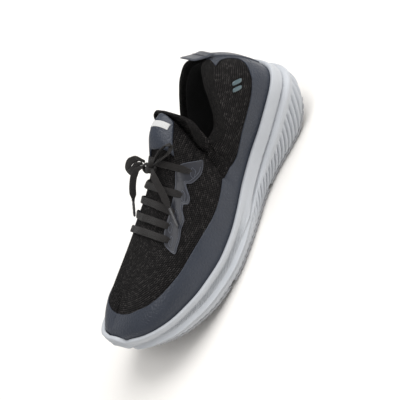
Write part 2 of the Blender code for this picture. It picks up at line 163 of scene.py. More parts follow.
class Form:
    """The shape of the last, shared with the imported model."""

    lateral_outline: Rows = (
        (0, 0), (13, 1), (24.5, 5), (33.5, 14), (37.5, 32), (37, 58), (35, 85), (38, 112), (47, 140),
        (54.5, 168), (58.5, 196), (58.5, 222), (55, 246), (48, 267), (34, 284), (8, 297), (-15, 300))
    medial_outline: Rows = (
        (0, 0), (-13, 1), (-24, 5), (-32.5, 14), (-37.5, 32), (-38, 58), (-35.5, 85), (-33, 112),
        (-35, 140), (-41, 168), (-48, 196), (-51.7, 222), (-51.5, 246), (-49, 267), (-43, 284),
        (-30, 296.5), (-15, 300))
    ground_line: Rows = (
        (0, 20), (12, 13), (28, 5.5), (48, 0), (110, 0), (175, 0), (205, 1.5), (235, 7), (262, 15.5),
        (285, 25.5), (300, 34))
    rim_line: Rows = (
        (0, 57), (20, 54), (45, 47.5), (75, 39.7), (105,
                                                    33.5), (135, 29.5), (165, 27.2), (195, 28), (225, 32),
        (250, 37), (275, 43), (300, 49))
    board_line: Rows = (
        (0, 41), (30, 39), (60, 35.5), (90, 30.5), (120,
                                                    26), (150, 22.8), (180, 21.5), (200, 22), (225, 24.5),
        (250, 28.5), (275, 34), (300, 40.5))
    ridge_line: Rows = (
        (80, -8, 117), (92, -8.4, 118), (103, -8.8,
                                         119.5), (114, -8.9, 117.5), (124, -8.7, 111), (134, -8.4, 103),
        (150, -8, 94.5), (175, -8, 85.5), (200, -8.5,
                                           78), (225, -9.7, 71.5), (250, -11.5, 65.5), (271, -13, 58.5))
    topline_points: Rows = (
        (0, 0, 27, 112), (0.04, 9, 30, 114.5), (0.08, 16, 38, 117), (0.13, 23, 51, 111), (0.19, 29, 64, 100),
        (0.25, 32, 76, 89.5), (0.30, 32, 88, 83), (0.33, 30, 99, 83.5), (0.345, 28, 103, 89.5),
        (0.365, 29, 95.5, 104.5), (0.385, 22, 91.5, 113), (0.40, 0, 92, 118))
    ridge_run: Rows = ((0.40, 92), (0.5, 124), (0.6, 157), (0.7, 190), (0.8, 221), (0.9, 249), (1.0, 271))
    rise: Rows = ((0, 0.42), (0.15, 0.40), (0.3, 0.38), (0.4, 0.36), (0.5, 0.42), (0.6, 0.52), (0.75, 0.62),
                  (0.9, 0.66), (1, 0.62))
    lean: Rows = ((0, -1), (0.1, 0.5), (0.2, 1.5), (0.3, 1), (0.4, 0), (0.6, 0), (0.75, 1), (0.9, 1), (1, 0))
    drop: Rows = ((0, 0.25), (0.2, 0.35), (0.31, 0.35), (0.335, 0.3), (0.4, 0.3), (1, 0.3))
    bulge: Rows = ((0, 12), (0.06, 10), (0.12, 6), (0.2, 5), (0.31, 6), (0.335, 6), (0.36, 8), (0.4, 8),
                   (1, 8))
    reach: Rows = ((0, 0.4), (0.4, 0.42), (0.5, 0.42), (0.6, 0.5), (0.75, 0.55), (1, 0.55))
    tongue_drift: float = -8.0  # how far the tongue lies over to the inner side

    def __init__(self) -> None:
        """Make the curves of the form."""
        self.outlines = {Side.LATERAL: by_length(self.lateral_outline),
                         Side.MEDIAL: by_length(self.medial_outline)}
        self.ground, self.rim = smooth(self.ground_line), smooth(self.rim_line)
        self.board, self.ridge = smooth(self.board_line), smooth(self.ridge_line)
        self.topline, self.run = smooth(self.topline_points), smooth(self.ridge_run)
        self.rising, self.leaning, self.dropping = smooth(self.rise), smooth(self.lean), smooth(self.drop)
        self.bulging, self.reaching = smooth(self.bulge), smooth(self.reach)

    @lru_cache(maxsize=None)
    def outline(self, side: Side, u: float) -> tuple[float, float]:
        """Give the point (x, s) of the sole outline."""
        x, s = self.outlines[side](u)
        return float(x), float(s)

    @lru_cache(maxsize=None)
    def outward(self, side: Side, u: float) -> Array:
        """Give the unit normal of the outline in plan, as (x, s)."""
        if u in (0, 1):
            return np.array([0.0, 2.0 * u - 1])
        along = self.outlines[side](min(u + 0.001, 1)) - self.outlines[side](max(u - 0.001, 0))
        normal = np.array([along[1], -along[0]]) * side.value
        return normal / np.linalg.norm(normal)

    def beside(self, side: Side, u: float, offset: Any, z: Any) -> Array:
        """Give points offset outwards from the outline at heights z.

        Args:
            side: The side of the shoe.
            u: Place along the outline.
            offset: One offset or several, in millimetres.
            z: The matching heights.

        Returns:
            Points (x, s, z), one a row.
        """
        offset, z = np.broadcast_arrays(np.atleast_1d(np.asarray(offset, float)), np.asarray(z, float))
        x, s = self.outline(side, u)
        normal = self.outward(side, u)
        return np.column_stack([x + normal[0] * offset, s + normal[1] * offset, z])

    @lru_cache(maxsize=None)
    def column(self, side: Side, u: float) -> Array:
        """Give the four control points of one column of the upper."""
        flat = np.append(self.outward(side, u), 0)
        x, s = self.outline(side, u)
        start = self.beside(side, u, -BITE_INSET, self.rim(s)[0] - 1.5)[0]
        if u >= TONGUE_TOP_U:
            along = self.run(u)[0]
            x, z = self.ridge(along)
            end = np.array([x, along, z])
        else:
            x, s, z = self.topline(u)
            end = np.array([side.value * x + self.tongue_drift * min(max((u - 0.3) / 0.1, 0), 1), s, z])
        height = end[2] - start[2]
        first = start + flat * self.leaning(u)[0] + np.array([0, 0, self.rising(u)[0] * height])
        if u >= TONGUE_TOP_U:
            turn = float(ease(0.86, 1, u)) * math.pi / 2
            span = self.reaching(u)[0] * np.linalg.norm((end - start)[:2])
            second = end + span * np.array([math.cos(turn) * side.value, math.sin(turn),
                                            -0.32 * math.sin(turn) - 0.02 * math.cos(turn)])
        else:
            second = end + flat * self.bulging(u)[0] - np.array([0, 0, self.dropping(u)[0] * height])
        return np.array([start, first, second, end])

    def arc(self, side: Side, u: float, v: Any) -> Array:
        """Give points of one column at each v."""
        a, b, c, d = self.column(side, round(float(u), 6))
        v = np.atleast_1d(np.asarray(v, float))[:, None]
        w = 1 - v
        return w**3 * a + 3 * w**2 * v * b + 3 * w * v**2 * c + v**3 * d

    def normals(self, side: Side, u: float, v: Any) -> Array:
        """Give the outward unit normals of one column at each v."""
        v = np.atleast_1d(np.asarray(v, float))
        safe = np.clip(v, 0, 0.985)
        a, b, c, d = self.column(side, round(float(u), 6))
        w, t = (1 - safe)[:, None], safe[:, None]
        up = 3 * w**2 * (b - a) + 6 * w * t * (c - b) + 3 * t**2 * (d - c)
        step = 0.004
        if u <= 0:
            along = self.arc(Side.MEDIAL, step, safe) - self.arc(Side.LATERAL, step, safe)
        elif u >= 1:
            along = self.arc(Side.LATERAL, 1 - step, safe) - self.arc(Side.MEDIAL, 1 - step, safe)
        else:
            low, high = max(u - step, 0), min(u + step, 1)
            if low < TONGUE_TOP_U < high:
                low, high = (TONGUE_TOP_U, high) if u >= TONGUE_TOP_U else (low, TONGUE_TOP_U - 1e-6)
            along = (self.arc(side, high, safe) - self.arc(side, low, safe)) * -side.value
        normal = np.cross(up, along)
        normal /= np.linalg.norm(normal, axis=1, keepdims=True)
        if u >= TONGUE_TOP_U and u < 1:
            crest = v >= 1
            if crest.any():
                normal[crest, 0] *= 0.15
                normal /= np.linalg.norm(normal, axis=1, keepdims=True)
        return normal

    def skin(self, side: Side, u: float, v: Any, lift: Any = 0.0) -> Array:
        """Give points of the upper's outer face, lifted off it.

        Args:
            side: The side of the shoe.
            u: Place along the outline.
            v: Places up the column.
            lift: One lift or one for each v, in millimetres.

        Returns:
            Points (x, s, z), one a row.
        """
        lift = np.broadcast_to(np.asarray(lift, float), np.atleast_1d(v).shape)[:, None]
        return self.arc(side, u, v) + self.normals(side, u, v) * lift

    @lru_cache(maxsize=None)
    def height_of(self, side: Side, u: float) -> float:
        """Give the length of a column along its arc."""
        return float(np.linalg.norm(np.diff(self.arc(side, u, np.linspace(0, 1, 60)), axis=0), axis=1).sum())


FORM = Form()


# ------------------------------------------------------------------------------ mesh making

def world(points: Any) -> Array:
    """Turn (x, s, z) in millimetres into the frame, in metres."""
    points = np.asarray(points, float)
    return np.stack([points[..., 0] - CENTRE_X, CENTRE_S - points[..., 1], points[..., 2]], axis=-1) * MM


def lengths_of(points: Array) -> Array:
    """Give pattern coordinates in metres for a grid: along its columns and up its rows."""
    middle = points[:, points.shape[1] // 2]
    along = np.concatenate([[0], np.cumsum(np.linalg.norm(np.diff(middle, axis=0), axis=1))])
    up = np.concatenate([np.zeros((len(points), 1)),
                         np.cumsum(np.linalg.norm(np.diff(points, axis=1), axis=2), axis=1)], axis=1)
    return np.stack([np.broadcast_to(along[:, None], up.shape), up], axis=-1) * MM


def grid(points: Array, pattern: Array | None = None) -> bmesh.types.BMesh:
    """Shape a bmesh grid to the given points and weld what coincides.

    Args:
        points: Grid of (x, s, z) in millimetres, columns first.
        pattern: Pattern coordinates for each point, in metres.

    Returns:
        The bmesh, with its pattern coordinates as a UV layer.
    """
    pattern = lengths_of(points) if pattern is None else pattern
    columns, rows = points.shape[:2]
    sheet = bmesh.new()
    bmesh.ops.create_grid(sheet, x_segments=columns - 1, y_segments=rows - 1, size=1)
    layer = sheet.loops.layers.uv.new("pattern")
    placed = world(points)
    where = {}
    for vert in sheet.verts:
        i = round((vert.co.x + 1) / 2 * (columns - 1))
        k = round((vert.co.y + 1) / 2 * (rows - 1))
        where[vert] = (i, k)
        vert.co = placed[i, k]
    for face in sheet.faces:
        for loop in face.loops:
            loop[layer].uv = pattern[where[loop.vert]]
    bmesh.ops.remove_doubles(sheet, verts=sheet.verts, dist=1e-6)
    return sheet


def close_ends(solid: bmesh.types.BMesh) -> None:
    """Fill the open ends of a bmesh and turn its faces outwards."""
    edges = [edge for edge in solid.edges if edge.is_boundary]
    if edges:
        bmesh.ops.holes_fill(solid, edges=edges, sides=0)
    bmesh.ops.recalc_face_normals(solid, faces=solid.faces)
    if solid.calc_volume(signed=True) < 0:
        bmesh.ops.reverse_faces(solid, faces=solid.faces)


def joined(parts: Iterable[bmesh.types.BMesh]) -> bmesh.types.BMesh:
    """Join several bmeshes into one and free them."""
    whole = bmesh.new()
    for part in parts:
        mesh = bpy.data.meshes.new("part")
        part.to_mesh(mesh)
        part.free()
        whole.from_mesh(mesh)
        bpy.data.meshes.remove(mesh)
    return whole


def piece(name: str, sheet: bmesh.types.BMesh, finish: bpy.types.Material, sharp: float = 0.7,
          wall: float = 0.0) -> bpy.types.Object:
    """Turn a bmesh into a finished object.

    Args:
        name: The piece's name.
        sheet: The bmesh, which is freed.
        finish: Its material.
        sharp: Angle past which an edge is drawn sharp, in radians.
        wall: Thickness that Solidify adds inwards, in millimetres.

    Returns:
        The object, linked to the scene.
    """
    mesh = bpy.data.meshes.new(name)
    sheet.to_mesh(mesh)
    sheet.free()
    mesh.shade_smooth()
    mesh.set_sharp_from_angle(angle=sharp)
    mesh.materials.append(finish)
    made = bpy.data.objects.new(name, mesh)
    bpy.context.scene.collection.objects.link(made)
    if wall:
        solid = made.modifiers.new("thickness", "SOLIDIFY")
        solid.thickness = wall * MM
        solid.offset = -1
    LOG.info("%s: %d faces", name, len(mesh.polygons))
    return made


def settle(made: bpy.types.Object, motion: Motion, slot: str, *nodes: str) -> bpy.types.Object:
    """Attach a piece to the body that it follows, or only bake its transform, and hide the solids that it
    stands for.

    Args:
        made: The finished piece.
        motion: The body that it follows; for the forefoot, the tongue and the pull tab its transform is only
            baked.
        slot: Its material slot, which is not used.
        nodes: The solids that it replaces.

    Returns:
        The same piece.
    """
    if motion is Motion.TOE:
        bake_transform(made)
    elif motion is Motion.TONGUE:
        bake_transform(made)
    elif motion is Motion.TAB:
        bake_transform(made)
    else:
        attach(made, motion.value)
    if nodes:
        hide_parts(*nodes)
    return made


def ribbon(route: Array, facing: Array, width: Any, thickness: Any, sides: int = 14,
           square: float = 0.55) -> bmesh.types.BMesh:
    """Sweep a flat rounded section along a route.

    Args:
        route: Points (x, s, z) of the middle line.
        facing: Direction that the flat face looks in, at each point.
        width: Width of the section, one value or one for each point.
        thickness: Its thickness, likewise.
        sides: Points round the section.
        square: Exponent of the section: 1 is an ellipse, less is squarer.

    Returns:
        A closed bmesh.
    """
    count = len(route)
    width, thickness = np.broadcast_to(width, count), np.broadcast_to(thickness, count)
    along = np.gradient(route, axis=0)
    along /= np.linalg.norm(along, axis=1, keepdims=True)
    across = np.cross(facing, along)
    across /= np.linalg.norm(across, axis=1, keepdims=True)
    up = np.cross(along, across)
    angle = np.linspace(0, 2 * math.pi, sides + 1)
    wide = np.sign(np.cos(angle)) * np.abs(np.cos(angle)) ** square
    high = np.sign(np.sin(angle)) * np.abs(np.sin(angle)) ** square
    rings = (route[:, None] + across[:, None] * wide[None, :, None] * width[:, None, None] / 2
             + up[:, None] * high[None, :, None] * thickness[:, None, None] / 2)
    run = np.concatenate([[0], np.cumsum(np.linalg.norm(np.diff(route, axis=0), axis=1))]) * MM
    pattern = np.stack(np.broadcast_arrays(run[:, None], (wide * width.max() / 2 * MM)[None]), axis=-1)
    solid = grid(rings, pattern)
    close_ends(solid)
    return solid


def sampled(points: Rows, count: int) -> Array:
    """Sample a smooth route through points at even spacing."""
    curve = by_length(points)
    return np.array([curve(t) for t in np.linspace(0, 1, count)])


# --------------------------------------------------------------------------------- finishes

def add(tree: bpy.types.NodeTree, kind: str, sockets: dict[Any, Any] | None = None,
        **settings: Any) -> bpy.types.Node:
    """Add a shader node.

    Args:
        tree: The node tree.
        kind: The node's type.
        sockets: Inputs by name or number: a value, or the output that feeds them.
        settings: Properties of the node.

    Returns:
        The node.
    """
    node = tree.nodes.new(kind)
    for name, value in settings.items():
        setattr(node, name, value)
    for name, value in (sockets or {}).items():
        if isinstance(value, bpy.types.NodeSocket):
            tree.links.new(value, node.inputs[name])
        else:
            node.inputs[name].default_value = value
    return node


def maths(tree: bpy.types.NodeTree, operation: str, first: Any, second: Any = 0.0,
          clamp: bool = False) -> Any:
    """Add a Math node and return its output."""
    return add(tree, "ShaderNodeMath", {0: first, 1: second}, operation=operation, use_clamp=clamp).outputs[0]


def new_group(name: str, inputs: dict[str, tuple[str, Any]], outputs: dict[str, str]) -> bpy.types.NodeTree:
    """Start a shader node group.

    Args:
        name: The group's name.
        inputs: Socket types and defaults by name.
        outputs: Socket types by name.

    Returns:
        The empty group.
    """
    tree = bpy.data.node_groups.new(name, "ShaderNodeTree")
    for label, (kind, default) in inputs.items():
        made = tree.interface.new_socket(label, in_out="INPUT", socket_type=kind)
        if default is not None:
            made.default_value = default
    for label, kind in outputs.items():
        tree.interface.new_socket(label, in_out="OUTPUT", socket_type=kind)
    return tree


FLOAT, VECTOR = "NodeSocketFloat", "NodeSocketVector"


@lru_cache(maxsize=None)
def grain_group() -> bpy.types.NodeTree:
    """Make the group of fine creases and pores that moulded and leather-like skins share."""
    tree = new_group("skin_grain",
                     {"Vector": (VECTOR, None), "Scale": (FLOAT, 900.0), "Crease": (FLOAT, 0.5)},
                     {"Height": FLOAT, "Mottle": FLOAT})
    inside = add(tree, "NodeGroupInput")
    scale, vector = inside.outputs["Scale"], inside.outputs["Vector"]
    pores = add(tree, "ShaderNodeTexNoise",
                {"Vector": vector, "Scale": scale, "Detail": 3.0, "Roughness": 0.6})
    warp = add(tree, "ShaderNodeTexNoise",
               {"Vector": vector, "Scale": maths(tree, "MULTIPLY", scale, 0.2), "Detail": 2.0})
    bent = add(tree, "ShaderNodeVectorMath", {0: warp.outputs["Color"], 1: (0.004, 0.004, 0.004), 2: vector},
               operation="MULTIPLY_ADD")
    creases = add(tree, "ShaderNodeTexVoronoi",
                  {"Vector": bent.outputs[0], "Scale": maths(tree, "MULTIPLY", scale, 0.45)},
                  feature="DISTANCE_TO_EDGE")
    soft = add(tree, "ShaderNodeMapRange",
               {"Value": creases.outputs["Distance"], "From Min": 0.0, "From Max": 0.25})
    height = add(tree, "ShaderNodeMix",
                 {"Factor": inside.outputs["Crease"], 2: pores.outputs[0], 3: soft.outputs[0]})
    broad = add(tree, "ShaderNodeTexNoise",
                {"Vector": vector, "Scale": maths(tree, "MULTIPLY", scale, 0.05), "Detail": 4.0})
    out = add(tree, "NodeGroupOutput")
    tree.links.new(height.outputs[0], out.inputs["Height"])
    tree.links.new(broad.outputs[0], out.inputs["Mottle"])
    return tree


@lru_cache(maxsize=None)
def stitch_group() -> bpy.types.NodeTree:
    """Make the group of knitted loops: slanted stitches on the piece's own pattern, light flecks weighted to
    the loop crowns as painted highlight, and a mask of the gaps between loops for painted shade.
    """
    tree = new_group("knit_stitches",
                     {"Vector": (VECTOR, None), "Wale": (FLOAT, 0.0014), "Course": (FLOAT, 0.0011),
                                       "Slant": (FLOAT, 0.35)},
                     {"Height": FLOAT, "Fleck": FLOAT, "HoleShade": FLOAT})
    inside = add(tree, "NodeGroupInput")
    split = add(tree, "ShaderNodeSeparateXYZ", {0: inside.outputs["Vector"]})
    across = maths(tree, "DIVIDE", split.outputs[0], inside.outputs["Wale"])
    up = maths(tree, "DIVIDE", split.outputs[1], inside.outputs["Course"])
    cell = maths(tree, "ABSOLUTE", maths(tree, "SUBTRACT", maths(tree, "FRACT", across), 0.5))
    slanted = maths(tree, "ADD", up,
                    maths(tree, "MULTIPLY", cell, maths(tree, "MULTIPLY", inside.outputs["Slant"], 6.0)))
    loop = maths(tree, "SINE", maths(tree, "MULTIPLY", slanted, 2 * math.pi))
    leg = maths(tree, "SINE", maths(tree, "MULTIPLY", cell, 2 * math.pi))
    height = maths(tree, "MULTIPLY", maths(tree, "ADD", maths(tree, "MULTIPLY", loop, 0.5), 0.5), leg,
                   clamp=True)
    index = add(tree, "ShaderNodeCombineXYZ", {0: maths(tree, "FLOOR", across), 1: maths(tree, "FLOOR", up)})
    chance = add(tree, "ShaderNodeTexWhiteNoise", {0: index.outputs[0]}, noise_dimensions="2D")
    lit = maths(tree, "ADD", maths(tree, "MULTIPLY", maths(tree, "POWER", chance.outputs[0], 3.0), 0.68),
                0.32)
    # Painted highlight: the random flecks are weighted by the loop's height, so the crowns come out lightest.
    fleck = maths(tree, "MULTIPLY", lit, maths(tree, "POWER", height, 2.5))
    # Painted shade: this masks the gaps between loops, which the material darkens.
    hole = maths(tree, "LESS_THAN", height, 0.12)
    out = add(tree, "NodeGroupOutput")
    for label, source in (("Height", height), ("Fleck", fleck), ("HoleShade", hole)):
        tree.links.new(source, out.inputs[label])
    return tree


@lru_cache(maxsize=None)
def weave_group() -> bpy.types.NodeTree:
    """Make the group of a plain woven band: two sets of yarns over and under each other."""
    tree = new_group("band_weave", {"Vector": (VECTOR, None), "Yarn": (FLOAT, 0.0006), "Slant": (FLOAT, 0.6)},
                     {"Height": FLOAT, "Shade": FLOAT})
    inside = add(tree, "NodeGroupInput")
    split = add(tree, "ShaderNodeSeparateXYZ", {0: inside.outputs["Vector"]})
    along = maths(tree, "DIVIDE", split.outputs[0], inside.outputs["Yarn"])
    across = maths(tree, "DIVIDE", split.outputs[1], inside.outputs["Yarn"])
    tilt = maths(tree, "ABSOLUTE", across)
    chevron = maths(tree, "ADD", along, maths(tree, "MULTIPLY", tilt, inside.outputs["Slant"]))
    first = maths(tree, "SINE", maths(tree, "MULTIPLY", chevron, math.pi))
    second = maths(tree, "SINE", maths(tree, "MULTIPLY", across, math.pi))
    height = maths(tree, "ABSOLUTE", maths(tree, "MULTIPLY", first, second))
    shade = add(tree, "ShaderNodeTexNoise",
                {"Vector": inside.outputs["Vector"], "Scale": 260.0, "Detail": 3.0})
    out = add(tree, "NodeGroupOutput")
    tree.links.new(height, out.inputs["Height"])
    tree.links.new(shade.outputs[0], out.inputs["Shade"])
    return tree


def blend_colours(tree: bpy.types.NodeTree, factor: Any, first: Any, second: Any) -> Any:
    """Mix two colours and return the output."""
    node = add(tree, "ShaderNodeMix", {"Factor": factor}, data_type="RGBA")
    for number, value in ((6, first), (7, second)):
        if isinstance(value, bpy.types.NodeSocket):
            tree.links.new(value, node.inputs[number])
        else:
            node.inputs[number].default_value = (*value, 1)
    return node.outputs[2]


def spread(tree: bpy.types.NodeTree, value: Any, low: float, high: float) -> Any:
    """Map 0..1 to low..high and return the output."""
    return add(tree, "ShaderNodeMapRange", {"Value": value, "To Min": low, "To Max": high}).outputs[0]


def start_material(name: str) -> tuple[bpy.types.Material, bpy.types.NodeTree, bpy.types.Node]:
    """Start a material and return it with its tree and its shader."""
    made = bpy.data.materials.new(name)
    made.use_nodes = True
    tree = made.node_tree
    return made, tree, tree.nodes["Principled BSDF"]


def bumped(tree: bpy.types.NodeTree, shader: bpy.types.Node, height: Any, depth: float,
           strength: float = 1.0) -> None:
    """Feed a height in as bump of the given depth in metres."""
    bump = add(tree, "ShaderNodeBump", {"Height": height, "Distance": depth, "Strength": strength})
    tree.links.new(bump.outputs[0], shader.inputs["Normal"])


@dataclass(frozen=True)
class Skin:
    """A moulded or leather-like skin with grain and a soft mottle."""

    name: str
    light: tuple[float, float, float]
    dark: tuple[float, float, float]
    rough: float = 0.5
    scale: float = 900.0
    crease: float = 0.5
    depth: float = 0.00012
    coat: float = 0.0
    specular: float = 0.5

    def material(self) -> bpy.types.Material:
        """Build the material."""
        made, tree, shader = start_material(self.name)
        place = add(tree, "ShaderNodeTexCoord").outputs["Object"]
        grain = add(tree, "ShaderNodeGroup", node_tree=grain_group())
        tree.links.new(place, grain.inputs["Vector"])
        grain.inputs["Scale"].default_value = self.scale
        grain.inputs["Crease"].default_value = self.crease
        colour = blend_colours(tree, grain.outputs["Mottle"], self.dark, self.light)
        tree.links.new(colour, shader.inputs["Base Color"])
        tree.links.new(spread(tree, grain.outputs["Mottle"], self.rough - 0.08, self.rough + 0.1),
                       shader.inputs["Roughness"])
        shader.inputs["Coat Weight"].default_value = self.coat
        shader.inputs["Specular IOR Level"].default_value = self.specular
        bumped(tree, shader, grain.outputs["Height"], self.depth)
        return made


@dataclass(frozen=True)
class Knit:
    """A knitted cloth with light flecks in its stitches, brightest on the loop crowns as painted highlight,
    and the gaps between loops darkened as painted shade.
    """

    name: str
    ground: tuple[float, float, float]
    fleck: tuple[float, float, float]
    wale: float = 0.0014
    course: float = 0.0011
    slant: float = 0.35
    depth: float = 0.0005

    def material(self) -> bpy.types.Material:
        """Build the material."""
        made, tree, shader = start_material(self.name)
        place = add(tree, "ShaderNodeUVMap", uv_map="pattern").outputs[0]
        loops = add(tree, "ShaderNodeGroup", node_tree=stitch_group())
        tree.links.new(place, loops.inputs["Vector"])
        for label, value in (("Wale", self.wale), ("Course", self.course), ("Slant", self.slant)):
            loops.inputs[label].default_value = value
        # The fleck colour: light yarn flecks at random, strongest on the loop crowns as painted highlight.
        lit = blend_colours(tree, loops.outputs["Fleck"], self.ground, self.fleck)
        # Painted shade: the gaps between loops take a quarter of the ground colour.
        deep = tuple(c * 0.25 for c in self.ground)
        tree.links.new(blend_colours(tree, loops.outputs["HoleShade"], lit, deep), shader.inputs["Base Color"])
        tree.links.new(spread(tree, loops.outputs["Height"], 0.95, 0.7), shader.inputs["Roughness"])
        shader.inputs["Sheen Weight"].default_value = 0.0
        shader.inputs["Specular IOR Level"].default_value = 0.10
        bumped(tree, shader, loops.outputs["Height"], self.depth)
        return made


@dataclass(frozen=True)
class Woven:
    """A woven band, lace or lining cloth, darker in the hollows between yarns and lighter on their crowns as
    painted shade and highlight.
    """

    name: str
    light: tuple[float, float, float]
    dark: tuple[float, float, float]
    yarn: float = 0.0006
    slant: float = 0.6
    rough: float = 0.85
    depth: float = 0.0003

    def material(self) -> bpy.types.Material:
        """Build the material."""
        made, tree, shader = start_material(self.name)
        place = add(tree, "ShaderNodeUVMap", uv_map="pattern").outputs[0]
        weave = add(tree, "ShaderNodeGroup", node_tree=weave_group())
        tree.links.new(place, weave.inputs["Vector"])
        weave.inputs["Yarn"].default_value = self.yarn
        weave.inputs["Slant"].default_value = self.slant
        # Painted shade and highlight: the yarn crowns take the light colour and the hollows between yarns the
        # dark one.
        raised = maths(tree, "MULTIPLY", weave.outputs["Height"],
                       spread(tree, weave.outputs["Shade"], 0.5, 1.3), True)
        tree.links.new(blend_colours(tree, raised, self.dark, self.light), shader.inputs["Base Color"])
        tree.links.new(spread(tree, weave.outputs["Shade"], self.rough - 0.1, self.rough + 0.1),
                       shader.inputs["Roughness"])
        shader.inputs["Sheen Weight"].default_value = 0.1
        shader.inputs["Specular IOR Level"].default_value = 0.3
        bumped(tree, shader, weave.outputs["Height"], self.depth)
        return made


class Finishes:
    """Every finish of the shoe, built once."""

    def __init__(self) -> None:
        """Build the materials."""
        self.foam = Skin("midsole_foam", (0.53, 0.55, 0.58), (0.46, 0.48, 0.51), 0.5, 1500, 0.15,
                         0.00005).material()
        self.rubber = Skin("outsole_rubber", (0.40, 0.41, 0.43), (0.31, 0.32, 0.34), 0.6, 1800, 0.2,
                           0.00008).material()
        self.overlay = Skin("overlay_skin", (0.034, 0.042, 0.062), (0.019, 0.024, 0.036), 0.36, 620, 0.6,
                            0.0003).material()
        self.film = Skin("pressed_film", (0.024, 0.026, 0.035), (0.013, 0.014, 0.020), 0.30, 700, 0.4,
                         0.0001).material()
        self.edge = Skin("film_edge", (0.075, 0.082, 0.105), (0.05, 0.055, 0.07), 0.3, 900, 0.2,
                         0.00005).material()
        self.knit = Knit("engineered_knit", (0.003, 0.003, 0.0035), (0.20, 0.185, 0.18), 0.0023,
                         0.0021).material()
        self.rib = Knit("ribbed_knit", (0.010, 0.010, 0.0105), (0.12, 0.11, 0.105), 0.0019, 0.0009, 0.1,
                        0.0006).material()
        self.lining = Woven("lining_mesh", (0.010, 0.010, 0.011), (0.003, 0.003, 0.003), 0.0009,
                            0.0).material()
        self.footbed = Woven("footbed_cloth", (0.085, 0.065, 0.085), (0.045, 0.034, 0.046), 0.001,
                             0.3).material()
        self.lace = Woven("lace_cloth", (0.030, 0.026, 0.024), (0.008, 0.007, 0.007), 0.0008, 0.8, 0.8,
                          0.0004).material()
        self.thread = Woven("sewing_thread", (0.10, 0.10, 0.115), (0.05, 0.05, 0.06), 0.0003, 1.0).material()
        self.label = Woven("woven_label", (0.80, 0.80, 0.79), (0.60, 0.60, 0.59), 0.0004, 0.0, 0.75,
                           0.0001).material()
        self.aglet = Skin("lace_tip", (0.06, 0.06, 0.065), (0.03, 0.03, 0.033), 0.22, 800, 0.1, 0.00003,
                          coat=0.6).material()
        self.badge = Skin("badge_satin", (0.10, 0.155, 0.175), (0.06, 0.09, 0.10), 0.3, 900, 0.2, 0.00005,
                          coat=0.3).material()
        self.board = Skin("lasting_board", (0.40, 0.37, 0.32), (0.30, 0.27, 0.23), 0.9, 1400, 0.1).material()
        self.stiffener = Skin("stiffener_sheet", (0.30, 0.30, 0.31), (0.2, 0.2, 0.21), 0.6, 1100,
                              0.2).material()


FINISH = Finishes()


# ------------------------------------------------------------------------------------- sole

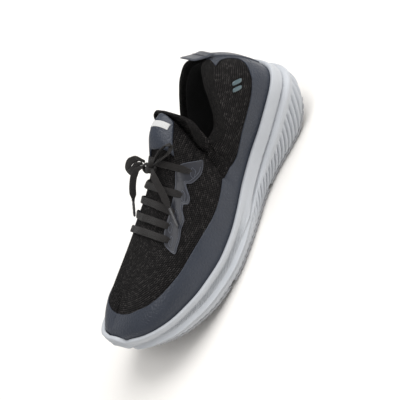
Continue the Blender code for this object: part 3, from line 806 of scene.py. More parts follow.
@dataclass
class Sole:
    """Midsole with its fluted side, the tread pads, the lasting board and the footbed."""

    outsole_thickness: float = 3.0
    gap: float = 0.35
    board_thickness: float = 1.5
    insole_thickness: float = 4.5
    rim_wall_inset: float = 3.2
    lip_inset: float = 4.1
    heel_flare: float = 2.0
    stations: int = 620
    wall_rows: int = 46
    band: float = 12.5  # depth of the smooth band under the rim at the heel
    fore_band: float = 5.2  # the same at the forefoot
    flute_pitch: float = 6.6
    fine_pitch: float = 2.9
    tooth_pitch: float = 6.2
    tread_depth: float = 1.6

    def side_length(self, u: float) -> float:
        """Give the walk along the outline from the heel, in millimetres."""
        return SIDE_LENGTH * u

    def lower(self, side: Side, u: float) -> float:
        """Give the height of the foam's lower edge."""
        return FORM.ground(FORM.outline(side, u)[1])[0] + self.outsole_thickness + self.gap

    def wall(self, side: Side, u: float) -> Array:
        """Give one column of the foam's side, from its lower edge to its seat for the board.

        Args:
            side: The side of the shoe.
            u: Place along the outline.

        Returns:
            Points (x, s, z), one a row.
        """
        s = FORM.outline(side, u)[1]
        low, high = self.lower(side, u), FORM.rim(s)[0] + self.toe_bumper(side, u)
        deep = high - low
        out = self.heel_flare * max(0.0, 1 - s / 150) + 0.6
        shape = smooth([(0, -2.0), (0.16, out), (0.38, out + 1.2), (0.62, 0.6 * out + 0.6), (0.8, -0.2),
                        (1, 0)])
        t = np.linspace(0, 1, self.wall_rows)
        base = np.array([shape(value)[0] for value in t])
        z = low + t * deep
        depth = high - z
        offset = base + self.relief(side, u, s, depth, z, deep)
        seat = FORM.board(s)[0] - self.board_thickness - self.gap
        top = [(-0.35, high + 0.35), (-1.3, high + 0.5), (-2.9, high + 0.4), (-self.lip_inset, high - 0.3),
               (-self.lip_inset, high - 2.5), (-self.rim_wall_inset,
                                               high - 3.0), (-self.rim_wall_inset - 0.2, seat)]
        offset = np.concatenate([offset, [o for o, _ in top]])
        z = np.concatenate([z, [h for _, h in top]])
        return FORM.beside(side, u, offset, z)

    def toe_bumper(self, side: Side, u: float) -> float:
        """Give how far the rim stands up over the toe, down to the fold where the bumper starts."""
        fold = 0.938 if side is Side.LATERAL else 0.86
        rise = float(ease(fold, fold + 0.035, u)) * 4.2
        return rise - 1.8 * float(hump(u, fold, 0.014)) * (1.0 if side is Side.LATERAL else 0.4)

    def relief(self, side: Side, u: float, s: float, depth: Array, z: Array, deep: float) -> Array:
        """Give what the bands, grooves and flutes add to the foam's side.

        Args:
            side: The side of the shoe.
            u: Place along the outline.
            s: Place along the shoe.
            depth: Depth below the rim.
            z: Heights.
            deep: Height of the whole side.

        Returns:
            The added offset for each height.
        """
        walk = self.side_length(u)
        heel = 1 - float(ease(112, 158, s))
        fore = float(ease(128, 172, s)) * (1 - float(ease(0.93, 0.965, u)))
        rolled = 1.1 * (1 - np.clip((depth - 0.5 * self.band) / (0.5 * self.band), -1, 1) ** 2)
        groove = -3.0 * hump(depth, self.band + 0.8, 1.2)
        ridge_fade = 1 - float(ease(70, 118, s))
        ridge = 2.2 * ridge_fade * hump(depth, self.band + 5.0, 2.9)
        start = self.band + 2.0 + 6.0 * ridge_fade
        sweep = 0.75 + 0.75 * float(ease(20, 120, s))
        phase = (walk + sweep * z) / self.flute_pitch
        flute = np.abs(np.sin(math.pi * phase)) ** 0.75 - 0.75
        flutes = 3.6 * flute * ease(start, start + 4.0, depth) * ease(-0.5, 2.0, deep - depth)
        heel_relief = rolled + groove + ridge + flutes

        soft = 0.7 * (1 - np.clip((depth - 0.5 * self.fore_band) / (0.5 * self.fore_band), -1, 1) ** 2)
        lip_depth = max(0.60 * deep, self.fore_band + 5)
        recess = -2.6 * ease(self.fore_band - 0.6, self.fore_band + 1.2,
                             depth) * (1 - ease(lip_depth - 2.5, lip_depth, depth))
        fine = np.abs(np.sin(math.pi * (walk + 1.5 * z) / self.fine_pitch)) - 0.6
        in_recess = ease(self.fore_band + 1, self.fore_band + 3,
                         depth) * (1 - ease(lip_depth - 4, lip_depth - 2, depth))
        lip = 1.3 * hump(depth, lip_depth + 0.6, 0.8) - 0.9 * hump(depth, lip_depth + 2.8, 1.0)
        fore_relief = soft + recess + 1.7 * fine * in_recess + lip

        middle = max(0.0, 1 - heel - fore) + 0.55 * (1 - abs(heel - fore)) * float(heel > 0 and fore > 0)
        crease = 1.2 * hump(depth, self.band - 0.05 * (s - 130),
                            0.9) - 1.2 * hump(depth, self.band + 5 - 0.06 * (s - 130), 1.1)
        tooth = np.abs(np.sin(math.pi * walk / self.tooth_pitch)) - 0.9
        teeth = 0.9 * tooth * (1 - ease(0, 4.5, deep - depth))
        bumper = 0.0
        if side is Side.LATERAL:
            line = 5.0 + 60 * (0.938 - u)
            bumper = 0.8 * hump(depth, line,
                                1.3) * float(ease(0.86, 0.91, u)) * (1 - float(ease(0.938, 0.955, u)))
        return heel * heel_relief + fore * fore_relief + middle * crease + teeth + bumper

    def bands(self) -> Iterable[float]:
        """Give the places along the outline, closer together round the heel and the toe."""
        return np.round(np.linspace(0, 1, self.stations), 6)

    def midsole(self) -> None:
        """Build the foam."""
        sections = []
        for u in self.bands():
            medial, lateral = self.wall(Side.MEDIAL, u), self.wall(Side.LATERAL, u)
            loop = np.concatenate([medial, lateral[::-1], medial[:1]])
            sections.append(loop)
        solid = grid(np.array(sections))
        close_ends(solid)
        made = piece("midsole_foam", solid, FINISH.foam, 1.1)
        settle(made, Motion.TOE, "sole_foam", "midsole")

    def tread_height(self, x: float, s: float) -> float:
        """Give the depth of the tread's grooves under a point of the sole."""
        wave = s + 5.0 * math.sin(x / 9.0)
        across = abs(math.sin(math.pi * wave / 12.4))
        channel = min(abs(x + 4 - 0.02 * s) / 3.0, 1.0)
        return self.tread_depth * (1 - float(ease(0.12, 0.32, across)) * float(ease(0.5, 1.0, channel)))

    def pad(self, name: str, low: float, high: float, motion: Motion) -> None:
        """Build one tread pad.

        Args:
            name: The solid that it replaces.
            low: Where it starts along the outline.
            high: Where it ends.
            motion: How it follows the bodies.
        """
        count = max(8, round((high - low) * SIDE_LENGTH / 1.7))
        cross = 46
        sections = []
        for u in np.round(np.linspace(low, high, count), 6):
            edges = []
            for side in (Side.MEDIAL, Side.LATERAL):
                ground = FORM.ground(FORM.outline(side, u)[1])[0]
                tooth = 1.5 * (abs(math.sin(math.pi * self.side_length(u) / self.tooth_pitch)) - 0.9)
                edges.append(FORM.beside(side, u, [-2.0 + 0.5 * tooth, -1.9 + tooth, -3.0 + tooth],
                                         [ground + self.outsole_thickness, ground + 1.2, ground]))
            under = []
            for w in np.linspace(0, 1, cross):
                point = edges[0][2] * (1 - w) + edges[1][2] * w
                groove = self.tread_height(point[0],
                                           point[1]) * float(ease(0, 0.06, w) * ease(0, 0.06, 1 - w))
                inside = float(ease(0, 4, abs(u - low) * SIDE_LENGTH)
                               * ease(0, 4, abs(high - u) * SIDE_LENGTH))
                under.append(point + np.array([0, 0, groove * inside]))
            loop = np.concatenate([edges[0][:2], under, edges[1][1::-1], edges[0][:1]])
            sections.append(loop)
        solid = grid(np.array(sections))
        close_ends(solid)
        settle(piece(f"{name}_tread", solid, FINISH.rubber, 0.8), motion, "outsole_rubber", name)

    def flat_layer(self, name: str, profile: Callable[[Side, float], Rows], finish: bpy.types.Material,
                   slot: str,
                   node: str, crown: float = 0.0) -> None:
        """Build a layer between the two sides of the outline.

        Args:
            name: The piece's name.
            profile: Offsets and heights from the bottom edge to the top edge.
            finish: Its material.
            slot: Its slot, which is not used.
            node: The solid that it replaces.
            crown: How far the middle of its top dips.
        """
        sections = []
        for u in np.round(np.linspace(0, 1, 110), 6):
            medial = FORM.beside(Side.MEDIAL, u, *np.array(profile(Side.MEDIAL, u), float).T)
            lateral = FORM.beside(Side.LATERAL, u, *np.array(profile(Side.LATERAL, u), float).T)
            steps = np.linspace(0, 1, 22)[1:-1, None]
            over = medial[-1] * (1 - steps) + lateral[-1] * steps
            over[:, 2] -= crown * np.sin(math.pi * steps[:, 0]) * math.sin(math.pi * min(max(u, 0.04), 0.96))
            loop = np.concatenate([medial, over, lateral[::-1], medial[:1]])
            sections.append(loop)
        solid = grid(np.array(sections))
        close_ends(solid)
        settle(piece(name, solid, finish), Motion.TOE, slot, node)

    def board_profile(self, side: Side, u: float) -> Rows:
        """Give the edge of the lasting board."""
        top = FORM.board(FORM.outline(side, u)[1])[0]
        inset = -self.rim_wall_inset - 0.7
        return [(inset, top - self.board_thickness), (inset, top)]

    def insole_profile(self, side: Side, u: float) -> Rows:
        """Give the edge of the footbed, which turns up round the foot."""
        top = FORM.board(FORM.outline(side, u)[1])[0] + self.gap
        inset = 12.0 if u < 0.42 else 12.0 - 3.0 * min((u - 0.42) / 0.1, 1)
        thick = self.insole_thickness
        return [(-inset - 1.0, top), (-inset, top + 1.5), (-inset, top + thick + 1.2),
                (-inset - 0.8, top + thick + 1.6),
                (-inset - 4.0, top + thick)]

    def build(self) -> None:
        """Build every piece of the sole."""
        self.midsole()
        self.pad("outsole_heel", 0.0, 0.335, Motion.ROOT)
        self.pad("outsole_midfoot", 0.35, 0.61, Motion.TOE)
        self.pad("outsole_forefoot", 0.63, 1.0, Motion.TOE)
        self.flat_layer("lasting_board", self.board_profile, FINISH.board, "board", "strobel_board")
        self.flat_layer("footbed", self.insole_profile, FINISH.footbed, "footbed", "insole", 0.8)


# ------------------------------------------------------------------------------------ upper

def around(high: float, count: int) -> list[tuple[Side, float]]:
    """List columns round the heel, from the outer side at high to the inner side at high.

    Args:
        high: How far the walk goes along each side.
        count: Columns on each side.

    Returns:
        Sides and places along the outline.
    """
    walk = np.round(np.linspace(0, high, count), 6)
    return [(Side.LATERAL, u) for u in walk[:0:-1]] + [(Side.MEDIAL, u) for u in walk]


def side_order(side: Side, walk: Array) -> list[tuple[Side, float]]:
    """Order the columns of one side so that their faces look outwards."""
    walk = np.round(walk, 6)
    return [(side, float(u)) for u in (walk if side is Side.MEDIAL else walk[::-1])]


@dataclass
class Upper:
    """The knitted bootie, its bonded layers, its padded collar and its lining."""

    knit_wall: float = 2.0
    guard_lift: float = 1.0
    vamp_start: float = 0.53
    wing_start: float = 0.343
    wing_foot: float = 0.50
    tuck_drop: float = 3.0
    guard_edge: Rows = ((0, 0.30), (0.12, 0.30), (0.153, 0.293), (0.27, 0.36), (0.34, 0.275), (0.463, 0.195),
                        (0.59, 0.273), (0.713, 0.31), (0.803,
                                                       0.367), (0.843, 0.407), (0.9, 0.52), (0.935, 0.66),
                        (0.97, 0.79), (1, 0.87))
    arch_edge: Rows = ((0.30, 0.12), (0.353, 0.08), (0.42, 0.053), (0.487, 0.043), (0.68, 0.047),
                       (0.77, 0.058),
                       (0.825, 0.076), (0.855, 0.068), (0.92, 0.054), (1.0, 0.044))
    badge_place: tuple[float, float] = (0.133, 0.52)

    def lasted(self, side: Side, u: float, v: Array, lift: Any = 0.0) -> Array:
        """Give a column with its margin turned under the rim, then its visible rows."""
        rows = FORM.skin(side, u, v, lift)
        tuck = rows[:1] - np.array([0, 0, self.tuck_drop])
        return np.concatenate([tuck, rows])

    def knit_piece(self, name: str, columns: list[tuple[Side, float]], rows: Callable[[Side, float], Array],
                   motion: Motion, *nodes: str) -> None:
        """Build one area of the knit.

        Args:
            name: The piece's name.
            columns: Its columns, in order.
            rows: The rows of each column, as v.
            motion: How it follows the bodies.
            nodes: The solids that it replaces.
        """
        points = []
        for side, u in columns:
            v = rows(side, u)
            if v[0] == 0:
                points.append(self.lasted(side, u, v))
            else:
                points.append(FORM.skin(side, u, v))
        settle(piece(name, grid(np.array(points)), FINISH.knit, 1.2, self.knit_wall), motion, "knit", *nodes)

    def knit(self) -> None:
        """Build the knit as the vamp, the quarters with the sides, and the wings of the tongue."""
        walk = np.round(np.linspace(self.vamp_start, 1, 100), 6)
        ring = [(Side.MEDIAL, u) for u in walk] + [(Side.LATERAL, u) for u in walk[-2::-1]]
        full = np.linspace(0, 1, 60)
        self.knit_piece("knit_vamp", ring, lambda side, u: full, Motion.TOE, "knit_upper")
        self.knit_piece("knit_quarters", around(self.wing_start, 90), lambda side, u: full, Motion.ROOT)
        for side in Side:
            between = side_order(side, np.linspace(self.wing_start, self.vamp_start, 50))
            self.knit_piece(f"knit_side_{side.name.lower()}", between,
                            lambda side, u: np.linspace(0, self.wing_foot, 32), Motion.ROOT)
        split = np.concatenate([np.linspace(self.wing_start, TONGUE_TOP_U - 1e-4, 22),
                                np.linspace(TONGUE_TOP_U, self.vamp_start, 42)])
        for side in Side:
            self.knit_piece(f"knit_wing_{side.name.lower()}", side_order(side, split),
                            lambda side, u: np.linspace(self.wing_foot, 1, 32), Motion.TONGUE)

    def rolled(self, side: Side, u: float, top: float, rows: int, lift: float, closed: bool = True) -> Array:
        """Give one column of a bonded layer whose upper edge rolls down to the knit.

        Args:
            side: The side of the shoe.
            u: Place along the outline.
            top: Where the edge is, as v.
            rows: Rows below the edge.
            lift: Its height off the knit.
            closed: Whether the layer's lower edge is lasted under the rim.

        Returns:
            Points (x, s, z), one a row.
        """
        per_mm = 1 / FORM.height_of(side, u)
        v = np.concatenate([np.linspace(0, top - 1.0 * per_mm, rows), top - per_mm * EDGE_STEPS])
        lifts = np.concatenate([np.full(rows, lift), lift * EDGE_LIFTS])
        return self.lasted(side, u, v, lifts) if closed else FORM.skin(side, u, v, lifts)

    def mudguard(self) -> None:
        """Build the bonded guard round the foot and its wing up the heel."""
        edge = smooth(self.guard_edge)
        walk = np.round(np.linspace(0, 1, 190), 6)
        ring = [(Side.MEDIAL, u) for u in walk] + [(Side.LATERAL, u) for u in walk[-2::-1]]
        points = []
        for side, u in ring:
            if u < 0.118:
                v = np.linspace(0, 0.30, 22)
                points.append(self.lasted(side, u, v, self.guard_lift))
            else:
                points.append(self.rolled(side, u, edge(u)[0], 18, self.guard_lift))
        settle(piece("mudguard_skin", grid(np.array(points)), FINISH.overlay, 1.0, 0.7), Motion.TOE,
               "overlay", "mudguard")

        reach = smooth(self.arch_edge)
        rows = np.linspace(0.30, 1.0, 64)
        wing = []
        for v in rows:
            most = reach(v)[0]
            row = []
            for side, order in ((Side.LATERAL, -1), (Side.MEDIAL, 1)):
                per_mm = 1 / SIDE_LENGTH
                inner = np.linspace(0, most - 1.0 * per_mm, 16)
                walk = np.concatenate([inner, most - per_mm * EDGE_STEPS])
                lifts = np.concatenate([np.full(16, self.guard_lift), self.guard_lift * EDGE_LIFTS])
                made = [FORM.skin(side, float(u), v, lift)[0] for u, lift in zip(walk, lifts)]
                row += made[:0:-1] if order < 0 else made
            wing.append(row)
        settle(piece("mudguard_heel_wing", grid(np.array(wing).transpose(1, 0, 2)), FINISH.overlay, 1.0, 0.7),
               Motion.ROOT, "overlay")

    def collar(self) -> None:
        """Build the padded ribbed collar round the opening, in its heel part and its tongue part."""
        def ring(side: Side, u: float, band: float, depth: float, thick: float, crown: float) -> Array:
            """Give one cross-section of a padded edge: its outer face, its roll and its inner face."""
            per_mm = 1 / FORM.height_of(side, u)
            t = np.linspace(0, 1, 9)
            outer = FORM.skin(side, u, 1 - band * per_mm * (1 - t),
                              -0.4 + crown * np.sin(math.pi * (0.08 + 0.84 * t)))
            top, normal = FORM.arc(side, u, 1.0)[0], FORM.normals(side, u, 1.0)[0]
            up = FORM.arc(side, u, 1.0)[0] - FORM.arc(side, u, 0.97)[0]
            up /= np.linalg.norm(up)
            angle = np.linspace(0, math.pi, 9)[1:-1]
            roll = [top + normal * (thick / 2 * (math.cos(a) - 1)) + up * (thick * 0.42 * math.sin(a))
                    for a in angle]
            inner = FORM.skin(side, u, 1 - depth * per_mm * t, -thick - 0.8 * np.sin(math.pi * t))
            return np.concatenate([outer, roll, inner, outer[:1]])

        def section(side: Side, u: float) -> Array:
            """Give one cross-section of the heel collar, which thins towards the tongue."""
            near = float(ease(0.0, 0.05, u))
            tail = 1 - 0.55 * float(ease(0.28, self.wing_start, u))
            return ring(side, u, 10.0 * tail, 13.0 * tail, 4.6 * (0.7 + 0.3 * tail), 0.5 + 0.9 * near * tail)

        heel = [section(side, u) for side, u in around(self.wing_start, 110)]
        solid = grid(np.array(heel))
        close_ends(solid)
        made = piece("padded_collar", solid, FINISH.rib, 1.2)
        settle(made, Motion.ROOT, "knit", "collar_foam_medial", "collar_foam_lateral")

        walk = np.linspace(self.wing_start, TONGUE_TOP_U - 1e-4, 40)
        columns = [(Side.MEDIAL, float(u)) for u in np.round(walk, 6)]
        columns += [(Side.LATERAL, float(u)) for u in np.round(walk[::-1], 6)]
        tongue = []
        for side, u in columns:
            grow = float(ease(self.wing_start, 0.37, u))
            tongue.append(ring(side, u, 1.8 + grow, 5.8 + 8 * grow, 2.0 + 0.6 * grow, 0.3))
        solid = grid(np.array(tongue))
        close_ends(solid)
        made = piece("padded_tongue_edge", solid, FINISH.rib, 1.2)
        settle(made, Motion.TONGUE, "knit", "tongue_padding")

    def lining(self) -> None:
        """Build the black lining inside the heel."""
        points = []
        for side, u in around(self.wing_start, 70):
            per_mm = 1 / FORM.height_of(side, u)
            v = np.linspace(0.06, 1 - 5 * per_mm, 26)
            lifts = -4.9 + 1.4 * (1 - ease(0.1, 0.5, v))
            points.append(FORM.skin(side, u, v, lifts)[::-1])
        sheet = grid(np.array(points))
        settle(piece("heel_lining", sheet, FINISH.lining, 1.2, -0.7), Motion.ROOT, "lining", "quarter_lining")

    def badge(self) -> None:
        """Build the plain badge on the outer heel: two rounded bars."""
        parts = []
        u0, v0 = self.badge_place
        per_mm = 1 / FORM.height_of(Side.LATERAL, u0)
        for shift, length in ((-3.2, 9.0), (3.2, 9.0)):
            rings = []
            for r, lift in ((1.0, -0.1), (1.0, 0.55), (0.86, 0.95), (0.62, 1.05), (0.3, 1.1), (0.02, 1.1)):
                ring = []
                for angle in np.linspace(0, 2 * math.pi, 41):
                    a = np.sign(math.cos(angle)) * abs(math.cos(angle)) ** 0.6 * r * length / 2
                    b = np.sign(math.sin(angle)) * abs(math.sin(angle)) ** 0.6 * r * 2.1
                    along, up = b + shift + 0.35 * a, a
                    ring.append(FORM.skin(Side.LATERAL, u0 + along / SIDE_LENGTH, v0 + up * per_mm, lift)[0])
                rings.append(ring)
            solid = grid(np.array(rings))
            close_ends(solid)
            parts.append(solid)
        settle(piece("heel_badge_bars", joined(parts), FINISH.badge), Motion.ROOT, "badge", "heel_badge")

    def build(self) -> None:
        """Build every piece of the upper."""
        self.knit()
        self.mudguard()
        self.collar()
        self.lining()
        self.badge()


@dataclass
class Eyestays:
    """The pressed film along the eyelets, with its lobes, raised edge and eyelet rings."""

    lift: float = 0.75
    low_edge: Rows = ((0.41, 0.42), (0.425, 0.402), (0.443, 0.396), (0.46, 0.41), (0.49, 0.462),
                      (0.508, 0.515), (0.53, 0.465),
                      (0.545, 0.475), (0.565, 0.53), (0.578,
                                                      0.525), (0.592, 0.48), (0.615, 0.482), (0.636, 0.46),
                      (0.66, 0.452), (0.68, 0.462), (0.695, 0.60))
    high_edge: Rows = ((0.41, 0.43), (0.43, 0.475), (0.455, 0.535), (0.475, 0.585), (0.493, 0.625),
                       (0.55, 0.655), (0.62, 0.672),
                       (0.67, 0.672), (0.685, 0.645), (0.695, 0.61))
    eyelets: Rows = ((0.463, 0.467), (0.543, 0.547), (0.603, 0.585), (0.645, 0.612), (0.668, 0.552))

    def film(self, side: Side) -> None:
        """Build the film of one side."""
        low, high = smooth(self.low_edge), smooth(self.high_edge)
        points = []
        for _, u in side_order(side, np.linspace(0.41, 0.695, 120)):
            a, b = low(u)[0], high(u)[0]
            b = max(b, a + 0.004)
            per_mm = 1 / FORM.height_of(side, u)
            across = (b - a) / per_mm
            steps = np.array([0, 0.1, 0.35, 0.8, 1.3, 1.9, 2.6])
            steps = np.minimum(steps, across / 2)
            v = np.concatenate([a + steps * per_mm,
                                np.linspace(a + steps[-1] * per_mm, b - steps[-1] * per_mm, 14)[1:-1],
                                b - steps[::-1] * per_mm])
            bead = np.array([-0.1, 0.45, 0.95, 1.1, 0.95, 0.72, 0.7]) * self.lift
            lifts = np.concatenate([bead, np.full(12, 0.7 * self.lift), bead[::-1]])
            points.append(FORM.skin(side, u, v, lifts))
        name = side.name.lower()
        settle(piece(f"eyestay_film_{name}", grid(np.array(points)), FINISH.film, 1.0, 0.5), Motion.TOE,
               "film",
               f"eyestay_{name}")

    def bead(self, side: Side, edge: Callable, inset: float, low: float, high: float) -> bmesh.types.BMesh:
        """Press one raised line into the film.

        Args:
            side: The side of the shoe.
            edge: The edge that it follows, as v at each u.
            inset: How far up from the edge it lies, in millimetres.
            low: Where it starts along the outline.
            high: Where it ends.

        Returns:
            The raised line.
        """
        points, facing = [], []
        for u in np.round(np.linspace(low, high, 90), 6):
            v = edge(u)[0] + inset / FORM.height_of(side, u)
            points.append(FORM.skin(side, u, v, self.lift * 0.85)[0])
            facing.append(FORM.normals(side, u, v)[0])
        return ribbon(np.array(points), np.array(facing), 0.75, 0.6, 8, 1.0)

    def slot(self, side: Side, u: float, v: float) -> bmesh.types.BMesh:
        """Raise the rounded frame of one lace slot."""
        per_mm = 1 / FORM.height_of(side, u)
        points, facing = [], []
        for angle in np.linspace(0, 2 * math.pi, 41):
            a = np.sign(math.cos(angle)) * abs(math.cos(angle)) ** 0.5 * 3.9
            b = np.sign(math.sin(angle)) * abs(math.sin(angle)) ** 0.5 * 2.4
            points.append(FORM.skin(side, u + a / SIDE_LENGTH, v + (b - 0.4) * per_mm, self.lift * 0.9)[0])
            facing.append(FORM.normals(side, u, v)[0])
        return ribbon(np.array(points), np.array(facing), 0.7, 0.6, 8, 1.0)

    def build(self) -> None:
        """Build both films with their raised lines and slots."""
        low, high = smooth(self.low_edge), smooth(self.high_edge)
        for side in Side:
            self.film(side)
            lines = [self.bead(side, low, 0.5, 0.413, 0.693), self.bead(side, low, 2.6, 0.43, 0.682),
                     self.bead(side, high, -0.5, 0.413, 0.693)]
            lines += [self.slot(side, u, v) for u, v in self.eyelets]
            settle(piece(f"pressed_lines_{side.name.lower()}", joined(lines), FINISH.edge), Motion.TOE,
                   "film")


@dataclass
class Tongue:
    """The overlay patch at the top of the tongue and its blank label."""

    lift: float = 1.1
    label_walk: tuple[tuple[Side, float], ...] = tuple(
        [(Side.MEDIAL,
          w) for w in np.linspace(0.885, 1, 14)] + [(Side.LATERAL, w) for w in np.linspace(0.99, 0.80, 18)])

    def patch(self) -> None:
        """Build the patch, rolled down to the knit at its edges."""
        outer = smooth([(0.402, 0.80), (0.42, 0.76), (0.45, 0.71), (0.475, 0.67)])
        inner = smooth([(0.402, 0.84), (0.43, 0.79), (0.47, 0.79), (0.525, 0.82)])
        points = []
        for t in np.concatenate([[0, 0.01, 0.03], np.linspace(0.06, 0.94, 40), [0.97, 0.99, 1.0]]):
            end = min(t, 1 - t)
            fall = min(1.0, 0.2 + end / 0.03)
            row = []
            for side, edge, last in ((Side.MEDIAL, inner, 0.525), (Side.LATERAL, outer, 0.475)):
                u = 0.403 + (last - 0.403) * t
                v0 = edge(u)[0]
                per_mm = 1 / FORM.height_of(side, u)
                middle = 0.403 + (0.505 - 0.403) * t
                v = np.concatenate([v0 + per_mm * np.array([0, 0.06, 0.25, 0.55]),
                                    np.linspace(v0 + per_mm, 1, 22)])
                lifts = self.lift * np.concatenate([[-0.1, 0.5, 0.86, 0.98], np.ones(22)]) * fall
                made = [FORM.skin(side, u + (middle - u) * float(ease(v0, 1, w)), w, h)[0] for w,
                        h in zip(v, lifts)]
                row += made if side is Side.MEDIAL else made[-2::-1]
            points.append(row)
        settle(piece("tongue_patch_skin", grid(np.array(points)[:, ::-1]), FINISH.overlay, 1.0, 0.7),
               Motion.TONGUE, "overlay",
               "tongue_patch")

    def label(self) -> None:
        """Build the blank label with a stitched border."""
        rows = []
        for t in np.linspace(0, 1, 22):
            row = []
            for side, w in self.label_walk:
                at = 0.431 + 0.0185 * t + (0.004 if side is Side.MEDIAL else -0.012) * (1 - w) / 0.15
                row.append(FORM.skin(side, at, w, self.lift + 0.6)[0])
            rows.append(row)
        settle(piece("tongue_label_cloth", grid(np.array(rows)[:, ::-1]), FINISH.label, 1.0, 0.5),
               Motion.TONGUE, "label",
               "tongue_label")

    def stitches(self) -> None:
        """Sew two rows of thread across the patch."""
        parts = []
        for u in (0.4555, 0.4615):
            for side, low in ((Side.MEDIAL, 0.87), (Side.LATERAL, 0.76)):
                for w in np.arange(low, 0.99, 0.021):
                    at = u - (0.006 * (1 - w) / 0.15 if side is Side.LATERAL else 0.0)
                    route = np.array([FORM.skin(side, at, w + d,
                                                self.lift + 0.3 * math.cos(d / 0.006 * math.pi / 2))[0]
                                      for d in np.linspace(-0.006, 0.006, 5)])
                    parts.append(ribbon(route, np.tile(FORM.normals(side, at, w), (5, 1)), 0.45, 0.45, 6,
                                        1.0))
        settle(piece("tongue_stitches", joined(parts), FINISH.thread), Motion.TONGUE, "overlay")

    def build(self) -> None:
        """Build the patch, the label and the stitches."""
        self.patch()
        self.label()
        self.stitches()


@dataclass
class HeelPull:
    """The webbing up the heel, its free tab and its stitches."""

    half_width: float = 12.6
    lift: float = 2.2
    tab_length: float = 17.5
    thickness: float = 2.2

    def columns(self) -> list[tuple[Side, float]]:
        """List the columns across the strip."""
        return around(self.half_width / SIDE_LENGTH, 9)

    def edge_lift(self, u: float) -> float:
        """Give how far the strip's rounded edge drops at u."""
        return 1 - 0.75 * float(ease(0.93, 1.0, u * SIDE_LENGTH / self.half_width))

    def strip(self) -> None:
        """Build the strip on the heel, from the rim to the topline."""
        points = []
        for side, u in self.columns():
            points.append(FORM.skin(side, u, np.linspace(0.10, 1.0, 46), self.lift * self.edge_lift(u)))
        settle(piece("heel_strip_webbing", grid(np.array(points)), FINISH.overlay, 1.0, 1.0), Motion.ROOT,
               "webbing",
               "heel_strip")

    def tab(self) -> None:
        """Build the free tab, curving up and thinning towards its end."""
        forward = np.array([0, 0.78, 0.626])
        runs = np.linspace(-4.0, self.tab_length, 28)
        middle = FORM.skin(Side.LATERAL, 0.0, 1.0, self.lift + 0.2)[0]
        sections = []
        for run in runs:
            base = middle + forward * run + np.array([0, 0, 0.012 * max(run, 0) ** 2])
            end = float(ease(self.tab_length - 1.6, self.tab_length, run))
            half = self.thickness / 2 * (1 - 0.55 * end) * float(0.35 + 0.65 * ease(-4.0, -1.5, run))
            loop = []
            for across in np.linspace(-1, 1, 15):
                x = across * self.half_width * (1 - 0.035 * end)
                sag = -0.055 * across**2 * self.half_width
                rise = half * (1 - 0.7 * ease(0.92, 1.0, abs(across)))
                loop.append((base + np.array([x, 0.3 * sag, sag]), rise))
            up = np.array([0, -0.626, 0.78])
            over = [p + up * r for p, r in loop]
            under = [p - up * r for p, r in reversed(loop)]
            sections.append(over + under + over[:1])
        solid = grid(np.array(sections))
        close_ends(solid)
        settle(piece("pull_tab_webbing", solid, FINISH.overlay, 1.0), Motion.TAB, "webbing", "pull_tab")

    def stitches(self) -> None:
        """Sew the row of thread across the tab's root."""
        forward = np.array([0, 0.78, 0.626])
        up = np.array([0, -0.626, 0.78])
        middle = FORM.skin(Side.LATERAL, 0.0, 1.0,
                           self.lift + 0.2)[0] + forward * 5.5 + up * (self.thickness / 2 + 0.05)
        parts = []
        for across in np.arange(-self.half_width + 1.8, self.half_width - 1.5, 1.9):
            sag = -0.055 * (across / self.half_width) ** 2 * self.half_width
            base = middle + np.array([across, 0.3 * sag, sag + 0.012 * 30])
            route = np.array([base + np.array([d, 0, 0]) + up * 0.28 * math.cos(d / 0.75 * math.pi / 2)
                              for d in np.linspace(-0.75, 0.75, 5)])
            parts.append(ribbon(route, np.tile(up, (5, 1)), 0.42, 0.42, 6, 1.0))
        settle(piece("pull_tab_stitches", joined(parts), FINISH.thread), Motion.TAB, "webbing")

    def build(self) -> None:
        """Build the strip, the tab and its stitches."""
        self.strip()
        self.tab()
        self.stitches()


# ------------------------------------------------------------------------------------ laces

@dataclass
class FreeCord:
    """One free stretch of the flat lace."""

    name: str
    route: Rows
    lean: tuple[float, float, float]
    far_end: str
    start_width: float = 3.2
    end_width: float = 6.6


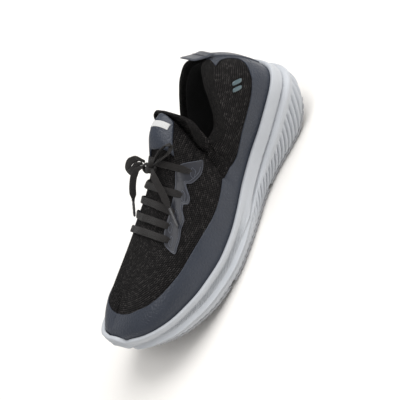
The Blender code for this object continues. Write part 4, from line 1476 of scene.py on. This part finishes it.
@dataclass
class Laces:
    """The flat lace: its rows over the instep, the knot, two loops, two tails and their tips."""

    width: float = 7.0
    thickness: float = 1.3
    knot: tuple[float, float, float] = (-6.5, 142, 104.5)
    knot_radii: tuple[float, float, float] = (7.5, 6, 4.2)
    tail_lateral: Rows = ((2.5, 144.5, 106), (6.5, 147.5, 106), (12, 152.5, 103.5), (17.5, 157.5, 99),
                          (22.5, 162.5, 94), (26.5, 167, 89.5), (29, 170, 86.5))
    aglet_lateral: Rows = ((29.3, 170.4, 86.1), (39.5, 183, 75.3))
    tail_medial: Rows = ((-15, 144, 106.5), (-19.5, 147.5, 107), (-25, 153, 104.5), (-29.5, 159, 99.5),
                         (-33, 164.5, 94), (-36, 169, 88.5), (-38, 172, 85))
    aglet_medial: Rows = ((-38.3, 172.4, 84.6), (-45.5, 183.5, 71))
    loop_medial: Rows = ((-14.5, 139, 107.5), (-21.5, 139, 111.5), (-29.5, 142, 111.5), (-36.5, 146.5, 108.5),
                         (-39, 150.5, 105), (-35.5, 152, 103.8), (-28.5, 148.8, 105.8), (-22, 143.8, 108.4),
                         (-15, 141.5, 108.7))
    loop_lateral: Rows = ((0.5, 137, 107), (7, 130.5, 111), (14, 124, 114), (20, 119.5, 114.5),
                          (23, 120.5, 112),
                          (20.5, 125.5, 109.5), (14, 131, 108.5), (8, 136, 107.8), (2.5, 139.5, 106.6))
    # Rows: (u and v at the outer eyelet, u at the ridge, u and v at the inner eyelet).
    rows: Rows = ((0.463, 0.467, 0.532, 0.463, 0.48), (0.543, 0.547, 0.598, 0.540, 0.55),
                  (0.603, 0.585, 0.640, 0.598, 0.585), (0.645, 0.612, 0.684, 0.642, 0.60),
                  (0.668, 0.552, 0.722, 0.680, 0.53))

    def tip(self, name: str, route: Rows) -> bpy.types.Object:
        """Build a lace tip, slightly flattened and pinched where it grips the lace."""
        points = sampled(route, 24)
        t = np.linspace(0, 1, 24)
        width = 3.1 + 0.35 * (1 - ease(0, 0.08, t)) - 1.2 * ease(0.94, 1, t) + 0.12 * np.cos(t * 24)
        solid = ribbon(points, np.tile((0.2, 0.5, 0.85), (24, 1)), width, width * 0.78, 16, 1.0)
        made = piece(f"{name}_tip", solid, FINISH.aglet)
        return settle(made, Motion.ROOT, "aglet", name)

    def free(self, cord: FreeCord, others: Sequence[bpy.types.Object] = ()) -> None:
        """Build one free stretch of lace."""
        count = 60
        points = sampled(cord.route, count)
        t = np.linspace(0, 1, count)
        if cord.far_end == "object":
            grow = ease(0, 0.22, t) * ease(0, 0.22, 1 - t)
            width = cord.start_width + (self.width - cord.start_width) * grow
        else:
            width = cord.start_width + (cord.end_width - cord.start_width) * ease(0, 0.3, t)
            width = width - (cord.end_width - 3.0) * ease(0.82, 1.0, t)
        thick = self.thickness * (1 + 0.5 * (1 - ease(0, 0.2, t)))
        facing = np.tile(np.array(cord.lean, float), (count, 1))
        solid = ribbon(points, facing, width, thick)
        made = piece(cord.name.replace("lace_", "flat_lace_"), solid, FINISH.lace)
        settle(made, Motion.ROOT, "lace", cord.name)

    def row(self, number: int, lateral: tuple[float, float], ridge: float,
            medial: tuple[float, float]) -> None:
        """Build one run of lace over the instep, from eyelet to eyelet."""
        points, facing = [], []
        for side, (u, v) in ((Side.MEDIAL, medial), (Side.LATERAL, lateral)):
            steps = np.linspace(0, 1, 26)
            for t in steps if side is Side.MEDIAL else steps[-2::-1]:
                at = u + (ridge - u) * math.sin(t * math.pi / 2)
                high = v + (1 - v) * t
                lift = 2.0 - 3.4 * (1 - float(ease(0, 0.10, t))) + 0.5 * math.sin(9 * t + number)
                points.append(FORM.skin(side, at, high, lift)[0])
                facing.append(FORM.normals(side, at, high)[0])
        route, facing = np.array(points), np.array(facing)
        tilt = 0.22 * np.sin(np.linspace(0, 2 * math.pi, len(route)) + 1.7 * number)[:, None]
        along = np.gradient(route, axis=0)
        along /= np.linalg.norm(along, axis=1, keepdims=True)
        facing = facing + np.cross(facing, along) * tilt
        ends = np.minimum(np.linspace(0, 1, len(route)), np.linspace(1, 0, len(route)))
        width = self.width * (0.62 + 0.38 * ease(0, 0.1, ends))
        made = piece(f"flat_lace_row_{number}", ribbon(route, facing, width, self.thickness * 1.15),
                     FINISH.lace)
        settle(made, Motion.TOE, "lace", f"lace_row_{number}")

    def tied_knot(self) -> None:
        """Build the knot: the lace wound through itself, gathered and flattened."""
        t = np.linspace(0, 2 * math.pi, 121)
        turns = np.stack([np.sin(t) + 2 * np.sin(2 * t), np.cos(t) - 2 * np.cos(2 * t), -np.sin(3 * t)],
                         axis=1)
        scale = np.array([self.knot_radii[0] / 3, self.knot_radii[1] / 3, self.knot_radii[2] * 0.62]) * 1.06
        route = np.array(self.knot) + turns * scale
        facing = turns * np.array([0.5, 0.5, 1.2]) + np.array([0, 0, 0.01])
        solid = ribbon(route, facing, 5.4, 2.2, 14, 0.8)
        core = bmesh.new()
        bmesh.ops.create_uvsphere(core, u_segments=24, v_segments=14, radius=1)
        bmesh.ops.scale(core, vec=[r * 0.62 * MM for r in self.knot_radii], verts=core.verts)
        bmesh.ops.translate(core, vec=Vector(world(self.knot)), verts=core.verts)
        core.loops.layers.uv.new("pattern")
        settle(piece("tied_knot", joined([solid, core]), FINISH.lace), Motion.ROOT, "lace", "lace_knot")

    def build(self) -> None:
        """Build the whole lace, the free cords first."""
        self.free(FreeCord("lace_tail_lateral", self.tail_lateral, (0.75, 0.2, 0.6), "fitting"),
                  [self.tip("aglet_lateral", self.aglet_lateral)])
        self.free(FreeCord("lace_tail_medial", self.tail_medial, (0.8, 0.25, 0.55), "fitting"),
                  [self.tip("aglet_medial", self.aglet_medial)])
        self.free(FreeCord("lace_loop_medial", self.loop_medial, (0.1, 0.9, 0.45), "object"))
        self.free(FreeCord("lace_loop_lateral", self.loop_lateral, (-0.5, -0.5, 0.7), "object"))
        self.tied_knot()
        for number, (u, v, ridge, inner_u, inner_v) in enumerate(self.rows, start=1):
            self.row(number, (u, v), ridge, (inner_u, inner_v))


# ----------------------------------------------------------------------------------- studio

@dataclass
class Studio:
    """Camera, floor and lights."""

    target: tuple[float, float, float] = (0.0243, 0.0007, 0.060)
    distance: float = 2.7916
    azimuth: float = 81.03
    elevation: float = 31.43
    roll: float = -57.65
    lens: float = 270.0

    def camera(self) -> None:
        """Place the camera."""
        data = bpy.data.cameras.new("camera")
        data.lens, data.sensor_width = self.lens, 36.0
        data.clip_end = 100
        a, e = math.radians(self.azimuth), math.radians(self.elevation)
        back = Vector((math.sin(a) * math.cos(e), -math.cos(a) * math.cos(e), math.sin(e)))
        right = Vector((math.cos(a), math.sin(a), 0))
        up = back.cross(right)
        turn = Matrix((right, up, back)).transposed() @ Matrix.Rotation(math.radians(self.roll), 3, "Z")
        made = bpy.data.objects.new("camera", data)
        made.matrix_world = Matrix.LocRotScale(Vector(self.target) + back * self.distance, turn, None)
        bpy.context.scene.collection.objects.link(made)
        bpy.context.scene.camera = made

    def floor(self) -> None:
        """Lay a plain pale floor."""
        made, _, shader = start_material("pale_floor")
        shader.inputs["Base Color"].default_value = (0.97, 0.945, 0.91, 1)
        shader.inputs["Roughness"].default_value = 0.9
        shader.inputs["Specular IOR Level"].default_value = 0.1
        sheet = bmesh.new()
        bmesh.ops.create_grid(sheet, x_segments=2, y_segments=2, size=20)
        bmesh.ops.translate(sheet, verts=sheet.verts, vec=(0, 0, -0.0003))
        piece("floor", sheet, made)

    def lamp(self, name: str, place: tuple[float, float, float], size: float, power: float,
             colour: tuple[float, float, float] = (1, 1, 1)) -> None:
        """Hang a soft lamp that looks at the shoe."""
        data = bpy.data.lights.new(name, "AREA")
        data.energy, data.size, data.color = power, size, colour
        made = bpy.data.objects.new(name, data)
        made.matrix_world = Matrix.LocRotScale(
            Vector(place), (Vector(self.target) - Vector(place)).to_track_quat("-Z", "Y"), None)
        bpy.context.scene.collection.objects.link(made)

    def build(self) -> None:
        """Set the camera, the floor, the lamps and the sky."""
        self.camera()
        self.floor()
        self.lamp("key", (0.25, 1.5, 2.0), 2.8, 64)
        self.lamp("fill", (0.9, -0.6, 2.4), 1.2, 10)
        sky = bpy.data.worlds.new("studio")
        sky.use_nodes = True
        sky.node_tree.nodes["Background"].inputs["Color"].default_value = (1, 1, 1, 1)
        sky.node_tree.nodes["Background"].inputs["Strength"].default_value = 0.52
        bpy.context.scene.world = sky
        bpy.context.scene.view_settings.view_transform = "Standard"


def dress_solids() -> None:
    """Give the model's own solids that stay their finishes."""
    for node, finish in (("heel_counter", FINISH.stiffener), ("toe_puff", FINISH.stiffener)):
        for slot in frame["nodes"][node].material_slots:
            slot.material = finish


def main() -> None:
    """Build the shoe and the studio."""
    logging.basicConfig(level=logging.INFO, format="%(name)s %(message)s")
    Studio().build()
    Laces().build()
    Sole().build()
    Upper().build()
    Eyestays().build()
    Tongue().build()
    HeelPull().build()
    dress_solids()


if __name__ == "__main__":
    main()
